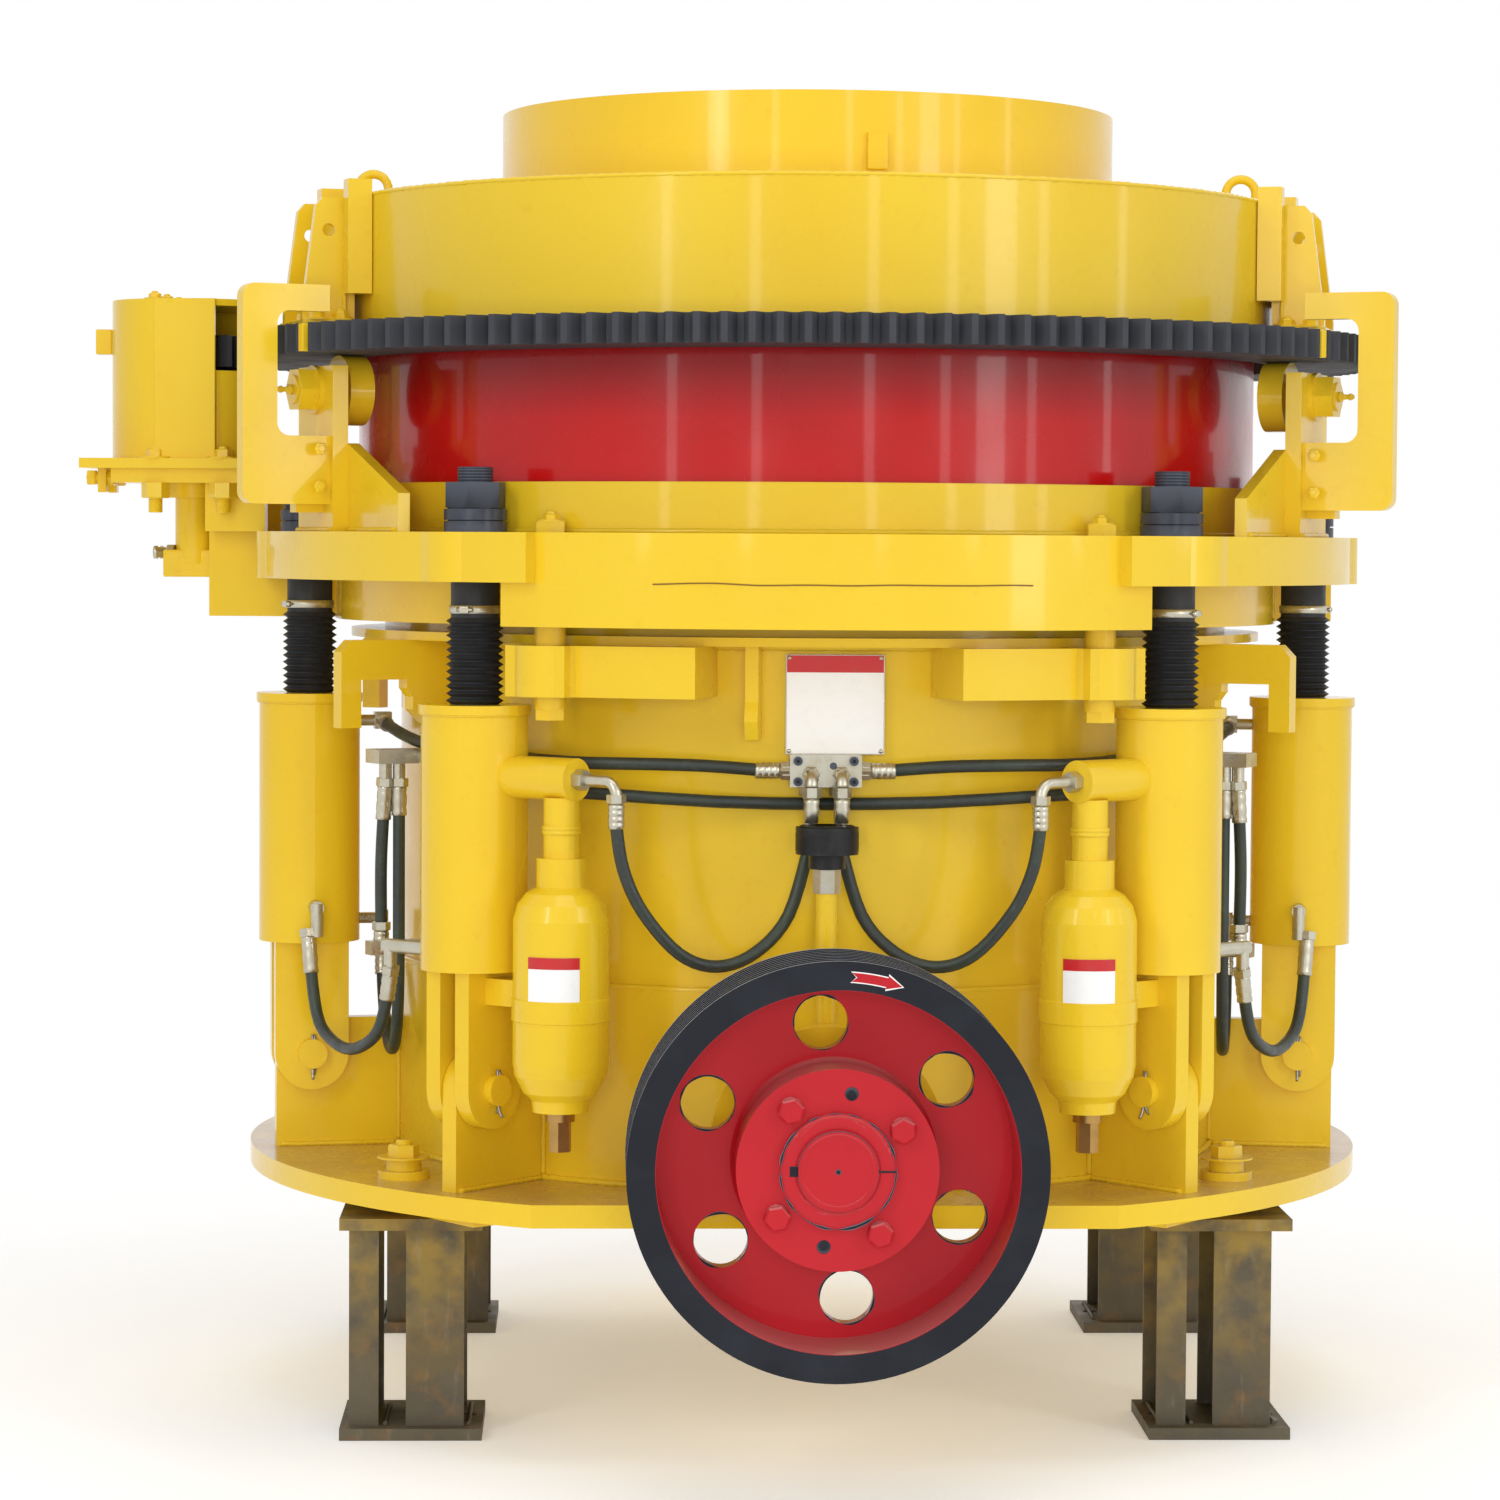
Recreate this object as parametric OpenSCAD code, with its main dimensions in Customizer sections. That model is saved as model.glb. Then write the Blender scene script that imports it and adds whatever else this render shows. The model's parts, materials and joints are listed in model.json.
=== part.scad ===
// Multi-cylinder hydraulic cone crusher standing on four short steel stands.
// Millimetres. +Z is up, the floor is z = 0, the machine axis is the Z axis
// and the drive pulley points to -Y.

/* [Stands] */
// Height of a stand with its base and top plates
stand_h = 376; // [340:4:420]
// Distance from the machine axis to a stand, left to right
stand_x = 685; // [660:5:720]
// Distance from the machine axis to a stand, front to back
stand_y = 500; // [480:5:540]

/* [Main frame] */
// Radius of the frame shell; the rings and the cylinders follow it
shell_r = 730; // [700:5:760]
// Wall of the frame shell
shell_wall = 45; // [35:5:55]
// Height of the main frame from the underside of its flange
frame_h = 960; // [930:5:1000]
// Thickness of the base flange
flange_t = 38; // [30:2:50]

/* [Tramp release cylinders] */
// Radius of a cylinder barrel
barrel_r = 89; // [80:1:92]
// Radius of a cylinder rod
rod_r = 29; // [25:1:32]

/* [Adjustment ring] */
// Thickness of the adjustment ring at the front
ring_t = 154; // [140:2:170]
// Height of the clamp band on the ring
band_h = 84; // [70:2:100]

/* [Drive ring] */
// Tooth module of the gear ring and its pinion
gear_module = 14; // [12:1:16]
// Thickness of the gear ring
gear_t = 49; // [40:1:55]
// Teeth on the pinion
pinion_teeth = 17; // [15:1:19]

/* [Bowl and hopper] */
// Height of the red drum between the clamp band and the gear ring
drum_h = 218; // [190:2:250]
// Height of the cap above the gear ring
cap_h = 233; // [200:2:260]
// Outer radius of the hopper
hopper_r = 550; // [500:5:600]
// Height of the hopper above the cap
hopper_h = 164; // [120:4:200]

/* [Pulley] */
// Outer radius of the drive pulley
pulley_r = 328; // [310:1:345]
// Width of the drive pulley
pulley_w = 215; // [190:5:220]
// Belt grooves on the pulley
pulley_grooves = 8; // [6:1:8]

/* [Hidden] */
$fn = 144;

// Levels
pad_t = 24;
top_flange_t = 15;
seat_gap = 16;
rest_gap = 0.3;
z_flange = stand_h + pad_t;
z_deck = z_flange + flange_t;
z_frame = z_flange + frame_h;
z_ring = z_frame + seat_gap;
z_ring_top = z_ring + ring_t;
z_lug = z_ring_top - 82;
z_band_top = z_ring_top + band_h;
z_gear = z_band_top + drum_h;
z_gear_top = z_gear + gear_t;
z_cap_top = z_gear_top + cap_h;
z_shaft = z_flange + 145;
z_clevis = z_flange + 206;
z_barrel = z_flange + 405;
z_barrel_top = z_frame - 115;
z_cross = z_barrel_top - 117;
z_port_front = z_barrel + 27;
z_port_side = z_barrel + 65;
z_port_top = z_barrel_top - 50;
z_bottle = z_flange + 183;
z_block = z_frame - 245;
z_mantle_top = z_gear - 32;

// The bowl screws down this far in its ring, and stays clear of the ring's lip
screw_travel = 24;
lip_t = 20;
z_bowl = z_ring + lip_t + screw_travel + 6;

// Radii, from the frame shell outward
foot_r = shell_r + 10;
seat_r = shell_r + 30;
top_flange_r = shell_r + 90;
bowl_r = shell_r + 40;
thread_fit = 0.3;
bore_r = bowl_r + thread_fit;
drum_r = bowl_r + 37;
skin_t = 12;
band_bore_r = drum_r + 8;
band_r = band_bore_r + 30;
washer_r = 52;
cyl_circle_r = band_r + washer_r + 3;
inner_line_r = cyl_circle_r - barrel_r - 41;
pin_r = band_r + 35;
pin_shaft_r = 26;
pin_clear = 5;
ring_r = cyl_circle_r + 85;
motor_lug_r = ring_r + 100;
flange_r = cyl_circle_r + 100;
flange_flat_y = flange_r - 122;
pad_r = flange_r - 165;
discharge_r = shell_r - 90;
lip_r = shell_r - shell_wall + 5;
cap_r = drum_r + 33;
gear_bore_r = cap_r + 10;

// Countershaft and its housing
housing_r = 150;
hub_r = 300;
shaft_r = 50;
bearing_t = 12;
nose_r = 62;
pulley_front = flange_r + 250;
pulley_back = pulley_front - pulley_w;
housing_front = pulley_back - 20;
breather_y = shell_r + 110;
breather_h = 400;
rim_bore_r = pulley_r - 45;
bush_r = 89;

// Cylinders; bearings are measured from the front, positive to the right
cyl_az = [-140, -80, -40, 40, 80, 140];
pin_az = 31;
side = [-1, 1];
bracket_t = 30;
fork_gap = bracket_t + 3;
fork_ear_t = 30;
fork_r = 65;
clevis_pin_r = 26;
bottle_off = 190;
bottle_r = 79;
pipe_r = 35;

// Drive ring
gear_teeth = round(2 * (gear_bore_r + 158) / gear_module);
pitch_r = gear_module * gear_teeth / 2;
pinion_pitch_r = gear_module * pinion_teeth / 2;
pinion_tip_r = pinion_pitch_r + gear_module;
pinion_circle_r = pitch_r + pinion_pitch_r;
pinion_shaft_r = 30;
motor_az = -97;
case_h = 288;
z_case = z_gear_top - 220;
base_t = 18;
lower_base_t = 26;
roller_az = [-150, -64.5, 64.5, 150];
roller_r = 60;
roller_w = 44;
axle_r = 25;
roller_circle_r = gear_bore_r + 40;
post_r = roller_circle_r + 35;
post_t = 28;
post_w = 157;
arm_w = 180;
foot_out = pitch_r - 58;
jaw_r = foot_out + 8;
arm_az = [-165, -75, 75, 165];

// Turns the pinion so that one of its gaps faces a tooth of the gear ring
gear_step = 360 / gear_teeth;
mesh_az = motor_az - 90;
tooth_off = mesh_az - gear_step * round(mesh_az / gear_step);
pinion_phase = mesh_az + 180 + 180 / pinion_teeth + tooth_off * gear_teeth / pinion_teeth;

yellow = [0.93, 0.66, 0.05];
red = [0.72, 0.04, 0.05];
pulley_red = [0.60, 0.06, 0.10];
black = [0.06, 0.06, 0.07];
steel = [0.55, 0.55, 0.57];
dull = [0.30, 0.27, 0.20];

// Turns to a bearing round the machine, with -Y outward and +X along the rim
module at_az(a)
{
    rotate([0, 0, a])
        children();
}

// Stands upright at a bearing and a radius
module on_circle(a, r, z = 0)
{
    rotate([0, 0, a])
        translate([0, -r, z])
            children();
}

// Points local +Z to the front
module to_front(x = 0, z = 0)
{
    translate([x, 0, z])
        rotate([90, 0, 0])
            children();
}

// 1 on bearings whose front neighbour lies towards -X, else 0
function front_side(a) = post_side(a) > 0 ? 1 : 0;

function post_side(a) = sign(a) * (abs(a) > 90 ? -1 : 1);

module ring_2d(outer, inner)
{
    difference()
    {
        circle(outer);
        circle(inner);
    }
}

module tube(outer, inner, h)
{
    linear_extrude(height = h)
        ring_2d(outer, inner);
}

// A plate seen from the side: outline in (radius, height), thickness along the rim
module radial_plate(t)
{
    rotate([90, 0, -90])
        translate([0, 0, -t / 2])
            linear_extrude(height = t)
                children();
}

// Part of a flat ring between two bearings
module sector(outer, inner, from_az, to_az)
{
    reach = outer * 1.6;
    intersection()
    {
        ring_2d(outer, inner);
        polygon([[0, 0],
                 [reach * sin(from_az), -reach * cos(from_az)],
                 [reach * sin((from_az + to_az) / 2), -reach * cos((from_az + to_az) / 2)],
                 [reach * sin(to_az), -reach * cos(to_az)]]);
    }
}

module hex(across, h)
{
    cylinder(r = across / sqrt(3), h = h, $fn = 6);
}

module box_at(x, y, z, w, d, h)
{
    translate([x - w / 2, y - d / 2, z])
        cube([w, d, h]);
}

// ---- Stands and pads ----

// One H beam on end, web along Y
module h_beam(depth, width, t, h)
{
    linear_extrude(height = h)
    {
        square([t, depth], center = true);
        translate([0, depth / 2 - t / 2])
            square([width, t], center = true);
        translate([0, t / 2 - depth / 2])
            square([width, t], center = true);
    }
}

module stand(flip)
{
    plate = 20;
    post_h = stand_h - 2 * plate;
    difference()
    {
        box_at(0, 0, 0, 240, 250, plate);
        for (x = side)
            translate([x * 95, 0, -1])
                cylinder(r = 13, h = plate + 2, $fn = 36);
    }
    box_at(0, 0, stand_h - plate, 240, 250, plate);
    translate([0, 0, plate])
    {
        translate([flip * 40, 0, 0])
            h_beam(194, 98, 8, post_h);
        translate([-flip * 80, 0, 0])
            h_beam(194, 50, 8, post_h);
    }
}

module stands()
{
    color(dull)
        for (x = side, y = side)
            translate([x * stand_x, y * stand_y, 0])
                stand(y * x > 0 ? -x : x);
}

module pads()
{
    color(yellow)
        for (a = [-126, -53, 53, 126])
            at_az(a)
            {
                box_at(0, -pad_r, stand_h, 450, 116, pad_t / 2);
                box_at(0, -pad_r + 5, stand_h + pad_t / 2, 430, 100, pad_t / 2);
            }
}

// ---- Main frame ----

module flange_2d()
{
    intersection()
    {
        ring_2d(flange_r, discharge_r);
        translate([-flange_r, -flange_flat_y])
            square([2 * flange_r, flange_flat_y + flange_r]);
    }
}

module main_frame()
{
    foot_h = 332;
    color(yellow)
        difference()
        {
            union()
            {
                translate([0, 0, z_flange])
                    linear_extrude(height = flange_t)
                        flange_2d();
                translate([0, 0, z_deck])
                    tube(foot_r, shell_r - shell_wall, foot_h);
                translate([0, 0, z_deck + foot_h])
                    tube(shell_r, shell_r - shell_wall, z_frame - z_deck - foot_h);
                translate([0, 0, z_frame - top_flange_t])
                    tube(top_flange_r, shell_r - shell_wall, top_flange_t);
                for (a = [-129, -51, 51, 129])
                    on_circle(a, flange_r - 100, z_deck - 1)
                    {
                        cylinder(r = 44, h = 15);
                        cylinder(r = 30, h = 35);
                    }
            }
            to_front(0, z_shaft)
                cylinder(r = housing_r, h = flange_r);
        }
}

// Ears that guide the ring, under the top flange
module guide_ear_2d()
{
    difference()
    {
        union()
        {
            rotate(-pin_az)
                translate([0, -pin_r])
                    circle(62);
            sector(pin_r + 20, shell_r, -pin_az - 4, -pin_az + 17);
            sector(pin_r + 50, shell_r, -pin_az - 3.5, -pin_az + 3.5);
        }
        rotate(-pin_az)
            translate([0, -pin_r])
                circle(pin_shaft_r + pin_clear);
    }
}

module guide_ears()
{
    ear_t = 84;
    color(yellow)
        for (back = [0, 180], m = [0, 1])
            translate([0, 0, z_frame - top_flange_t - ear_t])
                linear_extrude(height = ear_t)
                    rotate(back)
                        mirror([m, 0])
                            guide_ear_2d();
}

// Radial brackets that the cylinders stand on
module clevis_brackets()
{
    top = z_clevis - z_deck;
    root = foot_r;
    color(yellow)
        for (a = cyl_az)
            at_az(a)
                translate([0, 0, z_deck])
                    radial_plate(bracket_t)
                        difference()
                        {
                            union()
                            {
                                translate([root, 0])
                                    square([cyl_circle_r - root + 60, top]);
                                translate([root, 0])
                                    square([cyl_circle_r - root, top + 60]);
                                translate([cyl_circle_r, top])
                                    circle(60);
                            }
                            translate([cyl_circle_r, top])
                                circle(clevis_pin_r);
                        }
}

// Lifting hooks on the shell, open on their underside, and a small tab at the front
module hook_plates()
{
    low = z_frame - 165;
    notch = z_frame - 83;
    top = z_frame - top_flange_t;
    color(yellow)
        for (a = [-120, -60, 60, 120])
            at_az(a)
                radial_plate(30)
                    polygon([[shell_r, low - 40],
                             [shell_r + 78, low + 30],
                             [shell_r + 78, notch - 30],
                             [shell_r + 90, notch - 15],
                             [shell_r + 90, notch],
                             [shell_r + 177, notch],
                             [shell_r + 177, low],
                             [shell_r + 215, low],
                             [shell_r + 215, top - 20],
                             [shell_r + 195, top],
                             [shell_r, top]]);
    color(yellow)
        at_az(-9)
            radial_plate(22)
                polygon([[shell_r, low - 4],
                         [shell_r + 48, low - 4],
                         [shell_r + 62, low + 26],
                         [shell_r + 50, low + 58],
                         [shell_r + 52, top],
                         [shell_r, top]]);
}

// Centre hub on four arms, with the bore that carries the head
module hub()
{
    hub_h = 620;
    arm_w = 130;
    arm_h = 300;
    arm_r = shell_r - shell_wall;
    head_bore = 120;
    pocket_r = head_bore + 50;
    pocket_h = 400;
    color(yellow)
        difference()
        {
            union()
            {
                translate([0, 0, z_flange])
                    cylinder(r = hub_r, h = hub_h);
                intersection()
                {
                    for (a = [45, 135, 225, 315])
                        at_az(a)
                            box_at(0, -arm_r / 2, z_flange + 40, arm_w, arm_r, arm_h);
                    translate([0, 0, z_flange])
                        cylinder(r = arm_r - rest_gap, h = arm_h + 100);
                }
            }
            translate([0, 0, z_flange - 1])
                cylinder(r = pocket_r, h = pocket_h);
            translate([0, 0, z_flange])
                cylinder(r = head_bore, h = hub_h + 1);
            to_front(0, z_shaft)
                cylinder(r = housing_r, h = hub_r + 1);
        }
}

module shaft_housing()
{
    color(yellow)
        to_front(0, z_shaft)
            difference()
            {
                union()
                {
                    translate([0, 0, 180])
                        cylinder(r = housing_r, h = housing_front - 180);
                    translate([0, 0, flange_flat_y + 2])
                        cylinder(r = housing_r + 40, h = 40);
                }
                cylinder(r = shaft_r + bearing_t, h = housing_front + 1);
            }
}

module shaft_bearings()
{
    color([0.70, 0.52, 0.25])
        for (d = [200, housing_front - 120])
            to_front(0, z_shaft)
                translate([0, 0, d])
                    tube(shaft_r + bearing_t, shaft_r + 0.05, 100);
}

// Main shaft, mantle and feed plate
module mantle()
{
    rim_r = bowl_r - 190;
    z_rim = z_ring - 50;
    z_foot = z_flange + 420;
    spindle_r = 120;
    waist_r = 430;
    waist_h = 275;
    head_r = 230;
    color([0.38, 0.37, 0.36])
    {
        translate([0, 0, z_foot])
            cylinder(r = spindle_r, h = z_rim - z_foot);
        rotate_extrude()
            polygon([[0, z_rim],
                     [rim_r - 120, z_rim - 50],
                     [rim_r, z_rim - 35],
                     [rim_r, z_rim],
                     [waist_r, z_rim + waist_h],
                     [head_r, z_mantle_top],
                     [0, z_mantle_top]]);
    }
}

module feed_plate()
{
    plate_r = 215;
    plate_t = 30;
    boss_r = 110;
    boss_h = 62;
    color([0.45, 0.44, 0.42])
        translate([0, 0, z_mantle_top])
        {
            cylinder(r = plate_r, h = plate_t);
            cylinder(r = boss_r, h = boss_h);
        }
}

// ---- Tramp release cylinders ----

module barrels()
{
    bore_h = z_barrel_top - z_barrel - 120;
    color(yellow)
        for (a = cyl_az)
            on_circle(a, cyl_circle_r)
            {
                difference()
                {
                    union()
                    {
                        translate([0, 0, z_barrel])
                            cylinder(r = barrel_r, h = z_barrel_top - z_barrel);
                        translate([0, 0, z_barrel_top - 15])
                            cylinder(r = barrel_r + 5, h = 15);
                    }
                    translate([0, 0, z_barrel + 120])
                        cylinder(r = rod_r + 3, h = bore_h + 1);
                }
                for (s = side)
                    translate([s * (fork_gap + fork_ear_t) / 2, 0, 0])
                        radial_plate(fork_ear_t)
                            difference()
                            {
                                union()
                                {
                                    translate([-fork_r, z_clevis])
                                        square([2 * fork_r, z_barrel - z_clevis]);
                                    translate([0, z_clevis])
                                        circle(fork_r);
                                }
                                translate([0, z_clevis])
                                    circle(clevis_pin_r);
                            }
            }
}

module clevis_pins()
{
    pin_l = fork_gap + 2 * fork_ear_t + 30;
    color([0.80, 0.60, 0.10])
        for (a = cyl_az)
            on_circle(a, cyl_circle_r, z_clevis)
                rotate([0, 90, 0])
                    translate([0, 0, -pin_l / 2])
                        cylinder(r = clevis_pin_r, h = pin_l);
}

// Folded rubber boots on the rods
module bellows()
{
    folds = 12;
    fold_h = 12;
    boot_r = rod_r + 10;
    color(black)
        for (a = cyl_az)
            on_circle(a, cyl_circle_r, z_barrel_top)
                difference()
                {
                    rotate_extrude()
                        union()
                        {
                            square([boot_r + 1, z_lug - z_barrel_top - rest_gap]);
                            for (i = [0 : folds - 1])
                                polygon([[boot_r, i * fold_h],
                                         [boot_r + 9, i * fold_h + fold_h / 2],
                                         [boot_r, (i + 1) * fold_h]]);
                        }
                    translate([0, 0, -1])
                        cylinder(r = rod_r + 3, h = z_lug - z_barrel_top + 2);
                }
}

module cross_pipes()
{
    color(yellow)
        for (s = side)
            at_az(40 * s)
                difference()
                {
                    translate([0, -cyl_circle_r, z_cross])
                        rotate([0, -90 * s, 0])
                            cylinder(r = pipe_r, h = bottle_off + 32);
                    translate([0, -cyl_circle_r, z_cross - 60])
                        cylinder(r = barrel_r, h = 120);
                }
}

module accumulator_bottles()
{
    neck_r = 29.5;
    collar_r = 41;
    top = z_cross - 30 - z_bottle;
    color(yellow)
        for (s = side)
            at_az(40 * s)
                translate([-s * bottle_off, -cyl_circle_r, z_bottle])
                    rotate_extrude()
                        polygon([[0, 0], [46, 0], [48, 19], [62, 32], [bottle_r - 3, 60],
                                 [bottle_r, 79], [bottle_r, 149], [bottle_r + 2, 151],
                                 [bottle_r + 2, 186], [bottle_r, 188],
                                 [bottle_r, top - 200], [bottle_r - 7, top - 174], [58, top - 156],
                                 [collar_r, top - 146], [collar_r, top - 99], [neck_r, top - 99],
                                 [neck_r, top], [0, top]]);
}

module accumulator_valves()
{
    valve_h = 66;
    color([0.80, 0.62, 0.15])
        for (s = side)
            at_az(40 * s)
                translate([-s * bottle_off, -cyl_circle_r, z_bottle - valve_h])
                {
                    hex(33, valve_h);
                    translate([0, 0, valve_h - 16])
                        cylinder(r = 24, h = 16);
                }
}

module accumulators()
{
    cross_pipes();
    accumulator_bottles();
    accumulator_clamps();
}

// Brackets that tie each accumulator to the fork of its cylinder
module accumulator_clamps()
{
    fork_out = fork_gap / 2 + fork_ear_t;
    reach = bottle_off - bottle_r - fork_out + 5;
    color(yellow)
        for (s = side)
            at_az(40 * s)
                box_at(-s * (fork_out + reach / 2), -cyl_circle_r, z_bottle + 167, reach, 46, 44);
}

// ---- Adjustment ring and what it carries ----

// Holes for the cylinder rods and the guide pins
module ring_holes()
{
    for (a = cyl_az)
        rotate(a)
            translate([0, -cyl_circle_r])
                circle(rod_r);
    for (back = [0, 180], a = [-pin_az, pin_az])
        rotate(back + a)
            translate([0, -pin_r])
                circle(pin_shaft_r);
}

// The thin upper plate reaches out over the cylinders
module upper_outline()
{
    circle(ring_r - 45);
    for (a = cyl_az)
        rotate(a)
            translate([0, -cyl_circle_r])
                circle(ring_r - cyl_circle_r + 10);
    for (a = [-61, 61])
        sector(ring_r, shell_r, a - 31, a + 31);
    for (a = [0, 180])
        sector(ring_r - 30, shell_r, a - 34, a + 34);
    sector(ring_r, shell_r, 96, 104);
    sector(motor_lug_r, shell_r, -104, -93);
}

// The thick lower part carries the guide pins and the side lugs
module lower_outline()
{
    circle(band_r + 5);
    for (a = [0, 180])
        sector(ring_r - 30, shell_r, a - 34, a + 34);
    sector(ring_r, shell_r, 96, 104);
    sector(motor_lug_r, shell_r, -104, -93);
}

module ring_layer(from, to, bore)
{
    translate([0, 0, from])
        linear_extrude(height = to - from)
            difference()
            {
                children();
                circle(bore);
                ring_holes();
            }
}

module adjust_ring()
{
    color(yellow)
    {
        ring_layer(z_frame, z_ring, lip_r)
            circle(seat_r);
        ring_layer(z_ring, z_ring + lip_t, lip_r)
            lower_outline();
        ring_layer(z_ring + lip_t, z_lug, bore_r)
            lower_outline();
        ring_layer(z_lug, z_ring_top, bore_r)
            upper_outline();
    }
}

module clamp_band()
{
    color(yellow)
        translate([0, 0, z_ring_top])
            tube(band_r, band_bore_r, band_h);
}

module rods()
{
    low = z_barrel + 180;
    color(black)
        for (a = cyl_az)
            on_circle(a, cyl_circle_r, low)
                cylinder(r = rod_r, h = z_ring_top + 107 - low);
}

module rod_nuts()
{
    nut_af = 90;
    color([0.12, 0.12, 0.14])
        for (a = cyl_az)
            on_circle(a, cyl_circle_r, z_ring_top)
                difference()
                {
                    union()
                    {
                        cylinder(r = washer_r, h = 18);
                        translate([0, 0, 20])
                            cylinder(r = washer_r, h = 18);
                        cylinder(r = washer_r - 6, h = 40);
                        translate([0, 0, 40])
                            hex(nut_af, 42);
                    }
                    translate([0, 0, -1])
                        cylinder(r = rod_r, h = 100);
                }
}

module guide_pins()
{
    low = z_frame - 120;
    color(yellow)
        for (back = [0, 180], a = [-pin_az, pin_az])
            on_circle(back + a, pin_r, low)
            {
                cylinder(r = pin_shaft_r, h = z_ring_top - low);
                translate([0, 0, z_ring_top - low])
                    hex(46, 18);
                translate([0, 0, -18])
                    hex(46, 18);
            }
}

// Posts that hold the support rollers beside the drum
module roller_posts()
{
    axle_z = z_gear - roller_r;
    web_t = 20;
    web_l = 300;
    web_h = 150;
    color(yellow)
        for (a = roller_az)
            at_az(a)
                difference()
                {
                    union()
                    {
                        box_at(0, -post_r - post_t / 2, z_ring_top, post_w, post_t, axle_z + 40 - z_ring_top);
                        mirror([front_side(a), 0, 0])
                            translate([0, -post_r, z_ring_top])
                                rotate([90, 0, 0])
                                    translate([0, 0, -web_t])
                                        linear_extrude(height = web_t + 1)
                                            polygon([[-post_w / 2, 0], [web_l, 0], [web_l, band_h - 20],
                                                     [post_w / 2, web_h], [-post_w / 2, web_h]]);
                    }
                    translate([0, -post_r + 40, axle_z])
                        rotate([90, 0, 0])
                            cylinder(r = axle_r, h = post_t + 60);
                }
}

module roller_axles()
{
    reach = post_r - roller_circle_r;
    color(steel)
        for (a = roller_az)
            on_circle(a, roller_circle_r, z_gear - roller_r)
                rotate([90, 0, 0])
                {
                    translate([0, 0, -roller_w / 2 - 4])
                        cylinder(r = axle_r - 0.05, h = reach + roller_w / 2 + 4);
                    translate([0, 0, reach])
                        cylinder(r = axle_r, h = post_t + 44);
                    translate([0, 0, reach + post_t])
                        cylinder(r = 42, h = 8);
                    translate([0, 0, reach + post_t + 8])
                        hex(68, 32);
                }
}

module support_roller(a)
{
    color([0.86, 0.60, 0.08])
        on_circle(a, roller_circle_r, z_gear - roller_r)
            rotate([90, 0, 0])
                translate([0, 0, -roller_w / 2])
                    tube(roller_r - 0.05, axle_r, roller_w);
}

// C plates round the rim of the gear ring
module calipers()
{
    plate_t = 28;
    bow = 22;
    nose_gap = 10;
    inner = pitch_r + gear_module + 26;
    out = inner + 62;
    root = post_r + post_t;
    low = z_ring_top + 46;
    top = z_gear_top + 67;
    mouth_low = z_gear - 140;
    mouth_top = z_gear_top + 22;
    color(yellow)
        for (a = roller_az)
            at_az(a)
            {
                translate([-post_side(a) * (post_w / 2 - plate_t), 0, 0])
                    radial_plate(plate_t)
                        difference()
                        {
                            union()
                            {
                                translate([out - 3 * bow, low + bow])
                                    square([3 * bow, top - low - 2 * bow]);
                                for (z = [low + bow, top - bow])
                                    translate([out - bow, z])
                                        circle(bow);
                                translate([root, low])
                                    square([out - bow - root, top - low]);
                                translate([jaw_r, z_gear_top + nose_gap])
                                    square([out - bow - jaw_r, top - z_gear_top - nose_gap]);
                            }
                            translate([root - 60, mouth_low])
                                square([inner - bow - root + 60, mouth_top - mouth_low]);
                            translate([root, mouth_low + bow])
                                square([inner - root, mouth_top - mouth_low - 2 * bow]);
                            for (z = [mouth_low + bow, mouth_top - bow])
                                translate([inner - bow, z])
                                    circle(bow);
                        }
                box_at(-post_side(a) * (post_w / 2 - plate_t * 2), -root - 25, low - 14, plate_t, 50, 130);
            }
}

// ---- Hydraulic drive unit ----

module pinion_case()
{
    gap = 6;
    wall = 9;
    out = pinion_tip_r + gap + wall;
    inner = pinion_tip_r + gap;
    floor_h = z_gear - z_case - 12;
    color(yellow)
        on_circle(motor_az, pinion_circle_r, z_case)
            difference()
            {
                linear_extrude(height = case_h)
                    union()
                    {
                        circle(out);
                        translate([-out, -40])
                            square([2 * out, 110]);
                    }
                translate([0, 0, floor_h])
                    linear_extrude(height = case_h - floor_h - 12)
                        union()
                        {
                            circle(inner);
                            translate([-inner, 0])
                                square([2 * inner, 200]);
                        }
                translate([0, 0, -1])
                    cylinder(r = pinion_shaft_r + 0.05, h = floor_h + 2);
            }
}

module motor_base()
{
    z_lower = z_case - base_t - lower_base_t;
    color(yellow)
        at_az(motor_az)
        {
            difference()
            {
                union()
                {
                    box_at(0, -pinion_circle_r - 10, z_case - base_t, 330, 330, base_t);
                    box_at(0, -pinion_circle_r + 20, z_lower, 300, 280, lower_base_t);
                }
                translate([0, -pinion_circle_r, z_lower - 1])
                    cylinder(r = 60, h = base_t + lower_base_t + 2);
            }
            for (x = [-110, 110])
                box_at(x, -motor_lug_r + 60, z_ring_top, 24, 110, z_lower - z_ring_top);
        }
}

module ring_motor()
{
    flange_z = z_case;
    color(yellow)
        on_circle(motor_az, pinion_circle_r, 0)
        {
            difference()
            {
                union()
                {
                    translate([0, 0, flange_z - 70])
                        cylinder(r = 59.5, h = 70);
                    translate([0, 0, flange_z - 190])
                        cylinder(r = 34, h = 122);
                }
                translate([0, 0, flange_z - 100])
                    cylinder(r = pinion_shaft_r + 0.05, h = 101);
            }
        }
}

// ---- Gear ring, pinion and drive arms ----

// Involute flank point at a radius, on a base circle
function flank(rb, r) = let (t = sqrt(max(r * r / (rb * rb) - 1, 0))) t * 180 / PI - atan(t);

// Half tooth angle at a radius, thinned for backlash
function half_tooth(n, r) =
    let (rp = gear_module * n / 2, rb = rp * cos(20))
    90 / n - 0.25 * 180 / PI / rp + flank(rb, rp) - flank(rb, max(r, rb));

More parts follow.
